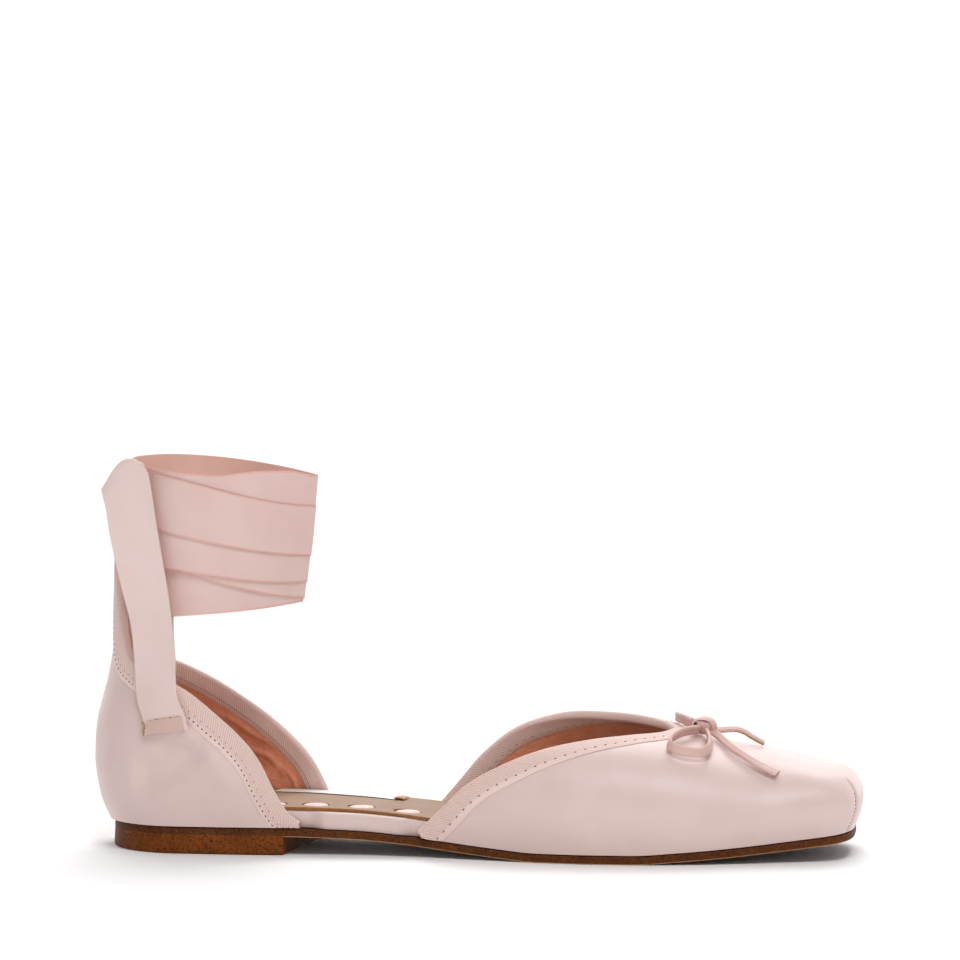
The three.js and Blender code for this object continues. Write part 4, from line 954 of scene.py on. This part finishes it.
def pressed_sheet(grid, creases):
    """The sheet with soft troughs and ridges along lines that lie near it."""
    normals, on_sheet = grid_normals(grid), nearest_on(grid)
    flat = grid.reshape(-1, 3)
    total = np.zeros(len(flat))
    for depth, width, fade, rows in creases:
        line = np.array([on_sheet(p)[0] for p in smooth_path(rows, 80)])
        along = lengths(line)
        ends = smoothstep(along, 0, fade) * smoothstep(along[-1] - along, 0, fade)
        gap = np.linalg.norm(flat[:, None] - line[None], axis=2)
        nearest = gap.argmin(1)
        total += depth * ends[nearest] * np.exp(-((gap.min(1) / width) ** 2))
    return grid + normals * total.reshape(grid.shape[:2])[:, :, None]


def wrinkled(back, front, wrinkles):
    """A lining with lengthwise wrinkles at some distances from its free edge."""
    crest = front[:, -1]
    along = lengths(crest)
    gap = np.linalg.norm(back[:, :, None] - crest[None, None], axis=3)
    place = along[gap.argmin(2)]
    away = gap.min(2)
    rise = np.zeros(away.shape)
    for k, (distance, height, width) in enumerate(wrinkles):
        centre = distance + 1.1 * np.sin(place / 7 + k * 1.9) + 0.5 * np.sin(place / 2.7 + k)
        strength = 0.55 + 0.45 * np.sin(place / 5.3 + k * 2.3)
        rise += height * strength * np.exp(-(((away - centre) / width) ** 2))
    rise *= smoothstep(back[:, :, 2] - feather_height(back[:, :, 0]), 3, 9)
    return back + unit(back - front) * rise[:, :, None]


def upper_pieces(name, front, wrinkles):
    """The satin outside and the coral inside of one upper. Returns the inner face, without wrinkles."""
    normals = grid_normals(front)
    back = front - normals * WALL
    inside = wrinkled(back, front, wrinkles) if wrinkles else back
    satin, lining = [front, front - normals * SATIN_THICK], [front - normals * LINING_FROM, inside]
    finish_piece(sheet_piece(name + "_satin", satin, [SATIN], sharp=60), "satin", name)
    finish_piece(sheet_piece(name + "_lining", lining, [LINING], sharp=60), "satin")
    return back


VAMP_ROWS = int(56 * FINE)
VAMP_SIDE_RIBS = int(70 * FINE)
VAMP_FRONT_RIBS = int(130 * FINE)


def vamp_side_ribs(side):
    rows, edge = VAMP_TOPLINE[side], EDGES[side]
    crest_x, crest_y, crest_z = (reader(rows, 0, k) for k in (1, 2, 3))
    start, end = edge.distance_at(rows[0][0]), edge.distance_at(THROAT_BASE)
    ribs = []
    for i in range(VAMP_SIDE_RIBS + 1):
        share = i / VAMP_SIDE_RIBS
        distance = mix(start, end, share**1.15)
        base = edge.at(distance)
        base[2] = feather_height(base[0])
        crest = np.array([crest_x(base[0]), crest_y(base[0]), crest_z(base[0])])
        if i == VAMP_SIDE_RIBS:
            crest = np.array(THROAT, float)
        sweep = mix(0.9, math.pi / 2, float(smoothstep(share, 0, 1)))
        bulge = VAMP_BULGE * float(smoothstep(share, 0, 0.35))
        ribs.append(vamp_rib(base, edge.outward(distance), crest, 2.2, sweep, bulge, 0, VAMP_ROWS))
    return ribs


def vamp_front_ribs(side):
    edge = EDGES[side]
    start = edge.distance_at(THROAT_BASE)
    ribs = []
    for i in range(VAMP_FRONT_RIBS + 1):
        share = i / VAMP_FRONT_RIBS
        distance = mix(start, edge.total, share)
        base = edge.at(distance)
        base[2] = feather_height(base[0])
        x = mix(THROAT[0], SPINE_END_X, share)
        crest = np.array([x, THROAT[1], float(ridge_height(x))])
        boxiness = mix(2.2, 5.2, float(smoothstep(share, 0.25, 0.9)))
        follow = float(smoothstep(share, 0, 0.35))
        outward = np.array([1.0, 0, 0]) if i == VAMP_FRONT_RIBS else edge.outward(distance)
        ribs.append(vamp_rib(base, outward, crest, boxiness, math.pi / 2, VAMP_BULGE, follow, VAMP_ROWS))
    return ribs


def vamp_columns():
    return np.array([
        *vamp_side_ribs(LATERAL)[:-1],
        *vamp_front_ribs(LATERAL),
        *reversed(vamp_front_ribs(MEDIAL)[:-1]),
        *reversed(vamp_side_ribs(MEDIAL)[:-1]),
    ])


QUARTER_ROWS = int(48 * FINE)


def quarter_ribs(side):
    rows, edge = QUARTER_TOPLINE[side], EDGES[side]
    top_x, top_y, top_z = (reader(rows, 0, k) for k in (1, 2, 3))
    cup, cup_share = reader(CUP, 0, 1), reader(CUP_SHARE, 0, 1)
    end = rows[-1][0]
    up = np.linspace(0, 1, 161)[:, None]
    ribs = []
    for i, share in enumerate(crowded_shares(110, 0.4)):
        distance = end * share
        base = edge.at(distance)
        base[2] = feather_height(base[0])
        top = np.array([top_x(distance), top_y(distance), top_z(distance)])
        outward = np.array([-1.0, 0, 0]) if i == 0 else edge.outward(distance)
        points = mix(base, top, up)
        out = cup(points[:, 2]) * cup_share(distance) * (1 - up[:, 0] ** 4)
        ribs.append(evenly(points + outward * out[:, None], QUARTER_ROWS))
    return ribs


def quarter_columns():
    return np.array([*reversed(quarter_ribs(MEDIAL)), *quarter_ribs(LATERAL)[1:]])


def ways_out(nearest, crests):
    """The way from each station of a free edge out of the sheet."""
    ahead = np.roll(crests, -1, axis=0)
    ahead[-1] = crests[-1]
    behind = np.roll(crests, 1, axis=0)
    behind[0] = crests[0]
    along = ahead - behind
    normals = np.array([nearest(c)[1] for c in crests])
    return unit(np.cross(normals, along))


# Rows down each face of a tape, and round its fold
TAPE_STEPS = 9
CAP_STEPS = 6


def tape_uv(grid):
    """Distance along the folded edge, and out from it: below zero outside, above zero inside."""
    middle = TAPE_STEPS + CAP_STEPS // 2
    crest = grid[:, middle]
    along = lengths(crest)
    dense_along = np.linspace(0, along[-1], 1500)
    gap = np.linalg.norm(grid[:, :, None] - read_run(crest, along, dense_along)[None, None], axis=3)
    away = gap.min(2)
    away[:, :middle] *= -1
    return np.stack([dense_along[gap.argmin(2)], away], -1)


def tape_grid(sections, lift):
    """Tape folded over a free edge: up the outside, round the edge, down the inside."""
    rows = []
    for away, outside, inside in sections:
        share = np.linspace(0, 1, len(outside))
        rise = lift * (1 - 0.75 * share**6)
        outer = [p + n * r for (p, n), r in zip(outside, rise)][::-1]
        inner = [p - n * r for (p, n), r in zip(inside, rise)]
        centre = (outside[0][0] + inside[0][0]) / 2
        across = (outer[-1] - inner[0]) / 2
        cap = []
        for k in range(1, CAP_STEPS):
            a = math.pi * k / CAP_STEPS
            cap.append(centre + across * math.cos(a) + away * (lift * 1.3) * math.sin(a))
        column = np.array([*outer, *cap, *inner])
        column[:, 2] = np.maximum(column[:, 2], feather_height(column[:, 0]) - 0.1)
        rows.append(column)
    return np.array(rows)


def quarter_tape_sections(columns, back):
    """Rows down both faces of the quarter's wall, following its ribs to the tape's width from the edge."""
    stations = [(ribs, nearest_on(ribs), evenly(ribs[:, -1], 600)) for ribs in (columns, back)]
    sections = []
    for i, away in enumerate(ways_out(stations[0][1], columns[:, -1])):
        pair = []
        for (ribs, nearest, edge_points), width in zip(stations, (TAPE_OUTSIDE, TAPE_INSIDE)):
            rib = ribs[i][::-1]
            along = lengths(rib)
            depths = np.arange(0.2, along[-1], 0.2)
            places = read_run(rib, along, depths)
            clear = np.linalg.norm(places[:, None] - edge_points[None], axis=2).min(1)
            past = np.nonzero(clear >= width)[0]
            end = depths[past[0]] if len(past) else along[-1]
            reach = np.linspace(0, end, TAPE_STEPS + 1)
            pair.append([nearest(p) for p in read_run(rib, along, reach)])
        sections.append((away, *pair))
    return sections


def vamp_tape_sections(columns, back):
    """Rows down both faces of the vamp's wall, straight in from its free edge."""
    half = VAMP_SIDE_RIBS + 1
    shares = crowded_shares(150, 0.35)
    shares = np.concatenate([shares / 2, (1 + shares[1:]) / 2])
    pair = []
    for ribs in (columns, back):
        crests = np.concatenate([ribs[:half, -1], ribs[-(half - 1):, -1]])
        last = len(crests) - 1
        pair.append((nearest_on(ribs), read_run(crests, np.arange(last + 1), shares * last)))
    sections = []
    for i, away in enumerate(ways_out(*pair[0])):
        made = []
        for (nearest, crests), width in zip(pair, (TAPE_OUTSIDE, TAPE_INSIDE)):
            reach = np.linspace(0, width, TAPE_STEPS + 1)
            made.append([nearest(crests[i] - away * r) for r in reach])
        sections.append((away, *made))
    return sections


def tape_piece(name, sections, node):
    grid = tape_grid(sections, TAPE_TOP)
    uv = tape_uv(grid)
    # The rim slot's darker colour is painted shade under the tape's edge
    piece = sheet_piece(name, [grid, tape_grid(sections, TAPE_FOOT)], [TAPE, TAPE_RIM_PAINTED_SHADE], uv, (0, 0, 1), 60)
    finish_piece(piece, "tape", node)
    return grid, uv


def row_at(grid, uv, away):
    """The line on a tape at one distance from its folded edge."""
    return np.array([read_run(points, places, away) for points, places in zip(grid, uv[:, :, 1])])


def stitches(name, line, normals, pitch, length, thick, material, slot, sink=0.3, turn=0.0):
    """Short thread stitches along a line of points on a surface."""
    along = lengths(line)
    count = int(along[-1] / pitch)
    points, faces = [], []
    around, rounds, step = 6, 4, 0.3
    for place in (np.arange(count) + 0.5) * along[-1] / count:
        behind, centre, beyond = read_run(line, along, place + np.array([-step, 0, step]))
        ahead = unit(beyond - behind)
        normal = unit(read_run(normals, along, place))
        side = unit(np.cross(normal, ahead))
        ahead = ahead * math.cos(turn) + side * math.sin(turn)
        side = unit(np.cross(normal, ahead))
        faces += ring_faces(len(points), rounds, around)
        for k in range(rounds + 1):
            t = math.pi * k / rounds
            reach, girth = -math.cos(t) * length / 2, math.sin(t) ** 0.6 * thick / 2 + 1e-4
            for j in range(around):
                a = 2 * math.pi * j / around
                points.append(centre + ahead * reach + side * girth * math.cos(a)
                              + normal * (girth * math.sin(a) - sink * thick))
    return finish_piece(object_from(name, points, faces, None, None, [material], sharp=180), slot)


def scallops(count, height):
    """Small loops along a ribbon's edge, four stations to a loop."""
    pattern = np.array([0.0, 0.75, 1.0, 0.75]) * height
    return np.resize(pattern, count)


def loop_point(angle, out):
    def plain(t):
        y = LOOP_REACH_Y * np.sin(t) * np.abs(np.sin(t / 2)) ** LOOP_PINCH
        return np.stack([LOOP_MIDDLE_X + LOOP_REACH_X * np.cos(t), y, np.zeros_like(t)], -1)

    along = unit(plain(angle + 0.02) - plain(angle - 0.02))
    normal = np.stack([along[:, 1], -along[:, 0], np.zeros(len(angle))], -1)
    return plain(angle) + normal * np.broadcast_to(out, angle.shape)[:, None]


def turn_piece(name, index):
    out, z, rise_x, rise_y, height, low_droop, top_droop = TURNS[name]
    count = int(184 * FINE) * 4
    angle = 2 * math.pi * (np.arange(count + 1) % count) / count
    share = (1 + np.cos(angle)) / 2
    across = [0, 0.02, *np.linspace(0.1, 0.9, 11), 0.98, 1]
    edge = scallops(count + 1, TURN_LOOPS)
    edge[-1] = edge[0]
    pressed = share**6

    def layer(shift):
        """The turn's surface, moved outward by the shift."""
        made = []
        for s in across:
            ripple = TURN_RIPPLE * np.sin(3 * angle + index * 2.1) * math.sin(2 * math.pi * s)
            soft = TURN_BELLY * math.sin(math.pi * s) + ripple
            foot = loop_point(angle, (out + soft) * (1 - TURN_PRESS * pressed) + shift)
            droop = smoothstep(foot[:, 0], -8, 34)
            low = z + rise_x * foot[:, 0] + rise_y * foot[:, 1] - low_droop * droop
            tall = height + (low_droop - top_droop) * droop
            if index == 0:
                tall = tall + NEAR_RISE * smoothstep(foot[:, 0], 4, 20) * smoothstep(-foot[:, 1], 0, 10)
            level = low + tall * s
            if s in (0, 1):
                level = level + edge * (1 if s else -1)
            x = foot[:, 0] + LOOP_LEAN * (level - LOOP_LEAN_FROM) * share + 0.8 * pressed
            made.append(np.stack([x, foot[:, 1], level], -1))
        return np.stack(made, axis=1)

    # The inner face's lighter colour is painted light
    materials = [RIBBON, RIBBON_INSIDE_PAINTED_LIGHT, RIBBON_EDGE_PAINTED_SHADE]
    layers = [layer(TURN_HALF), layer(-TURN_HALF)]
    # Slot 2 on the rims and on the first and last rows across: painted shade along the edges
    piece = sheet_piece(name + "_band", layers, materials, None, (0, 1, 2), 60, 2)
    return finish_piece(piece, "ribbon", name), layer(0)


def strap_grid(side, nearest):
    """A strap's middle surface from its edge rows, kept clear of the quarter."""
    rows = np.array(STRAPS[side], float)
    middle = (rows[:, :3] + rows[:, 3:6]) / 2
    along = lengths(middle)
    count = int(along[-1] / STRAP_STATION * FINE) * 4
    at = np.linspace(0, along[-1], count + 1)
    keyed = np.column_stack([along, rows])
    columns = [reader(keyed, 0, k + 1)(at) for k in range(7)]
    back, front, bow = np.stack(columns[:3], -1), np.stack(columns[3:6], -1), columns[6]
    across = 12
    edge = scallops(count + 1, STRAP_LOOPS)
    grid = np.zeros((count + 1, across + 1, 3))
    for j in range(across + 1):
        t = j / across
        grid[:, j] = mix(back, front, t)
        grid[:, j, 2] += bow * math.sin(math.pi * t)
        if j in (0, across):
            grid[:, j] += unit(front - back) * (edge * (1 if j else -1))[:, None]
    for point in grid.reshape(-1, 3):
        found, normal = nearest(point)
        stand = (point - found) @ normal
        if np.linalg.norm(point - found) < 4 and stand < STRAP_CLEAR:
            point += normal * (STRAP_CLEAR - stand)
    return grid, along[-1]


def strap_piece(name, side, nearest, node):
    grid, length = strap_grid(side, nearest)
    half = grid_normals(grid) * STRAP_HALF
    # The strap's lighter colour is painted sheen
    piece = sheet_piece(name, [grid + half, grid - half], [STRAP_RIBBON_PAINTED_SHEEN], sharp=60)
    return finish_piece(piece, "ribbon", node), grid, length


def strap_end(grid):
    """The strap's folded, sewn end: a block below a bar of stitches, with a raw edge."""
    normals = grid_normals(grid)
    if normals[0, 6, 1] > 0:
        normals = -normals
    rows = int(STRAP_END / (STRAP_STATION / 4 / FINE))
    fold, faced = grid[:rows, 1:-1], normals[:rows, 1:-1]
    finish_piece(sheet_piece("strap_end_fold", [fold + faced * 0.75, fold + faced * 0.2], [RIBBON_FOLD]), "ribbon")
    line, faced = grid[rows, 1:-1] + normals[rows, 1:-1] * 0.3, normals[rows, 1:-1]
    stitches("strap_end_bar", line, faced, 1.5, 1.3, 0.45, PALE_THREAD, "ribbon", sink=-0.2, turn=0.35)
    stitches("strap_end_bar_dark", line, faced, 2.2, 0.6, 0.35, THREAD, "ribbon", sink=-0.1, turn=-0.6)
    edge = grid[:rows, 0] + normals[:rows, 0] * 0.5
    stitches("strap_end_raw", edge, normals[:rows, 0], 1.2, 1.9, 0.6, GOLD_END, "ribbon", sink=0)


def bow_cord_piece(name):
    """Flat folded cord with a crease down its middle, gold at the tails' cut ends."""
    lie_from, lie_to, rows = BOW_PATHS[name]
    count = int(lengths(np.array(rows, float))[-1] / BOW_STATION * FINE)
    line = smooth_path(rows, count)
    ahead = unit(np.gradient(line, axis=0))
    flat = unit(np.cross([0, 0, 1.0], ahead))
    upright = np.cross(ahead, flat)
    lie = mix(lie_from, lie_to, np.linspace(0, 1, count + 1))[:, None]
    wide = upright * np.cos(lie) + flat * np.sin(lie)
    thin = np.cross(ahead, wide)
    size = 24
    widen = np.ones(count + 1)
    reach = BOW_LOOP_REACH if "loop" in name else BOW_TAIL_REACH
    if name == "bow_tail_lateral":
        widen = mix(1, 1.35, smoothstep(np.linspace(0, 1, count + 1), 0.55, 1))
    rings = np.zeros((count + 1, size, 3))
    for j in range(size):
        a = 2 * math.pi * j / size
        u = math.copysign(abs(math.cos(a)) ** 0.75, math.cos(a))
        v = math.copysign(abs(math.sin(a)) ** 0.85, math.sin(a))
        v *= 1 - 0.35 * math.exp(-((u / 0.16) ** 2))
        rings[:, j] = line + wide * (u * reach * widen)[:, None] + thin * (v * BOW_HALF_THICK / widen)[:, None]
    piece = tube_piece(name + "_cord", rings, [BOW_SATIN, GOLD_END])
    faces = piece.data.polygons
    if "tail" in name:
        for cap in (len(faces) - 2, len(faces) - 1):
            faces[cap].material_index = 1
    if name == "bow_tail_medial":
        for k in range(int(count * 0.45) * size, count * size):
            if 10 < k % size < 21:
                faces[k].material_index = 1
    return finish_piece(piece, "satin", name)


def knot_piece():
    """The knot: a second roll under an arched band, both folded from the cord."""
    around, across, width = 64, 14, 3.3
    for name, along_x, radii, tilt, nodes in (
        ("bow_knot_roll", True, (3.6, 2.5), 0.3, []),
        ("bow_knot_arch", False, (4.2, 2.95), -0.2, ["bow_knot"]),
    ):
        turn = np.array([
            [math.cos(tilt), -math.sin(tilt), 0],
            [math.sin(tilt), math.cos(tilt), 0],
            [0, 0, 1],
        ])
        grid = np.zeros((around + 1, across + 1, 3))
        for i in range(around + 1):
            a = 2 * math.pi * (i % around) / around
            for j in range(across + 1):
                s = 2 * j / across - 1
                swell = 1 - 0.28 * abs(s) ** 2.2 - 0.06 * math.exp(-((s / 0.16) ** 2))
                ring = np.array([math.cos(a) * radii[0], math.sin(a) * radii[1]]) * swell
                side = s * width * (0.75 + 0.25 * math.sin(a))
                point = [side, ring[0] * 0.95, ring[1]] if along_x else [ring[0], side * 0.9, ring[1]]
                grid[i, j] = np.array(BOW_KNOT) + turn @ np.array(point)
        finish_piece(sheet_piece(name, [grid], [BOW_SATIN], sharp=60), "satin", *nodes)


outsole_piece()
heel_piece()
board_piece()
sock_piece()
window_pads()
label_piece()

vamp_smooth = vamp_columns()
vamp_front = pressed_sheet(vamp_smooth, [*VAMP_CREASES, *TOE_SEAMS])
vamp_back = upper_pieces("vamp", vamp_front, [])
quarter_front = pressed_sheet(quarter_columns(), QUARTER_CREASES)
quarter_back = upper_pieces("quarter", quarter_front, QUARTER_WRINKLES)
vamp_tape, vamp_uv = tape_piece("vamp_tape", vamp_tape_sections(vamp_front, vamp_back), "vamp_binding")
quarter_sections = quarter_tape_sections(quarter_front, quarter_back)
quarter_tape, quarter_uv = tape_piece("quarter_tape", quarter_sections, "quarter_binding")
# name, away from the fold, pitch, length, thickness, thread
TAPE_STITCHES = {
    "vamp": [
        ("outer", -6.1, 3.4, 0.85, 0.42, THREAD), ("inner", 5.1, 2.9, 1.3, 0.34, GREY_THREAD),
    ],
    "quarter": [
        ("outer", -6.6, 1.85, 0.85, 0.42, THREAD), ("upper", -5.0, 2.6, 0.5, 0.28, THREAD),
        ("inner", 5.1, 1.5, 1.56, 0.36, GREY_THREAD),
    ],
}
for label, grid, uv in (("vamp", vamp_tape, vamp_uv), ("quarter", quarter_tape, quarter_uv)):
    normals = grid_normals(grid)
    for end, away, pitch, length, thick, thread in TAPE_STITCHES[label]:
        line, faced = row_at(grid, uv, away)[2:-2], row_at(normals, uv, away)[2:-2]
        stitches(f"{label}_stitches_{end}", line, faced, pitch, length, thick, thread, "tape", sink=0.1)

vamp_nearest = nearest_on(vamp_smooth)
for label, (_, _, _, rows) in zip(("lateral", "medial"), TOE_SEAMS):
    found = [vamp_nearest(p) for p in smooth_path(rows, 60)[4:42]]
    line, faced = (np.array(part) for part in zip(*found))
    stitches(f"toe_seam_{label}", line, faced, 1.2, 0.75, 0.38, THREAD, "satin", sink=1.3)
for index, name in enumerate(TURNS):
    piece, middle = turn_piece(name, index)
    flat = (TURNS[name][4] / 1000, lengths(middle[:, 6])[-1] / 1000)
quarter_nearest = nearest_on(quarter_front)
for side, node in ((LATERAL, "ribbon_strap_lateral"), (MEDIAL, "ribbon_strap_medial")):
    piece, grid, length = strap_piece(node + "_band", side, quarter_nearest, node)
    if side == LATERAL:
        strap_end(grid)

for name in BOW_PATHS:
    bow_cord_piece(name)
knot_piece()


def light(name, kind, energy, place, way):
    data = bpy.data.lights.new(name, kind)
    data.energy = energy
    lamp = bpy.data.objects.new(name, data)
    lamp.location = place
    lamp.rotation_euler = Vector(way).to_track_quat("-Z", "Y").to_euler()
    bpy.context.scene.collection.objects.link(lamp)
    return data


def area_light(name, place, target, size, power):
    data = light(name, "AREA", power, place, Vector(target) - Vector(place))
    data.shape = "RECTANGLE"
    data.size, data.size_y = size


WHITE_LIGHT = (1, 1, 1, 1)
BACKDROP = Nodes("wall_white").finish(WHITE_LIGHT, 1.0, Emission_Color=WHITE_LIGHT, Emission_Strength=1.0)


def studio_sheet(name, rows, material):
    """One face, 12 m wide, through two rows of y and z."""
    points = [(x, y, z) for x in (-6000, 6000) for y, z in rows]
    return object_from(name, points, [[0, 2, 3, 1]], None, None, [material], False, 180)


floor = studio_sheet("studio_floor", [(-4000, 0), (2600, 0)], FLOOR)
wall = studio_sheet("studio_wall", [(2590, -10), (2590, 4000)], BACKDROP)
wall.visible_shadow = False

world = bpy.data.worlds.new("studio")
world.use_nodes = True
sky = world.node_tree.nodes["Background"].inputs
sky["Color"].default_value = WHITE_LIGHT
sky["Strength"].default_value = 0.27
bpy.context.scene.world = world
bpy.context.scene.view_settings.view_transform = "Standard"

light("top", "SUN", 1.4, (0, 0, 0), (0.02, -0.72, -1.0)).angle = math.radians(40)
area_light("softbox", (0.4, -0.75, 1.3), (0.08, 0, 0.05), (0.7, 0.6), 9.6)
area_light("front", (0.1, -1.8, 0.42), (0.08, 0, 0.06), (1.4, 0.5), 3.6)

camera_data = bpy.data.cameras.new("camera")
camera_data.sensor_width = 36
camera_data.lens = 184.02
camera_data.clip_end = 50
camera = bpy.data.objects.new("camera", camera_data)
camera.location = (0.26970, -1.57718, 0.21593)
camera.rotation_euler = (math.radians(86.531), 0, math.radians(6.5))
bpy.context.scene.collection.objects.link(camera)
bpy.context.scene.camera = camera
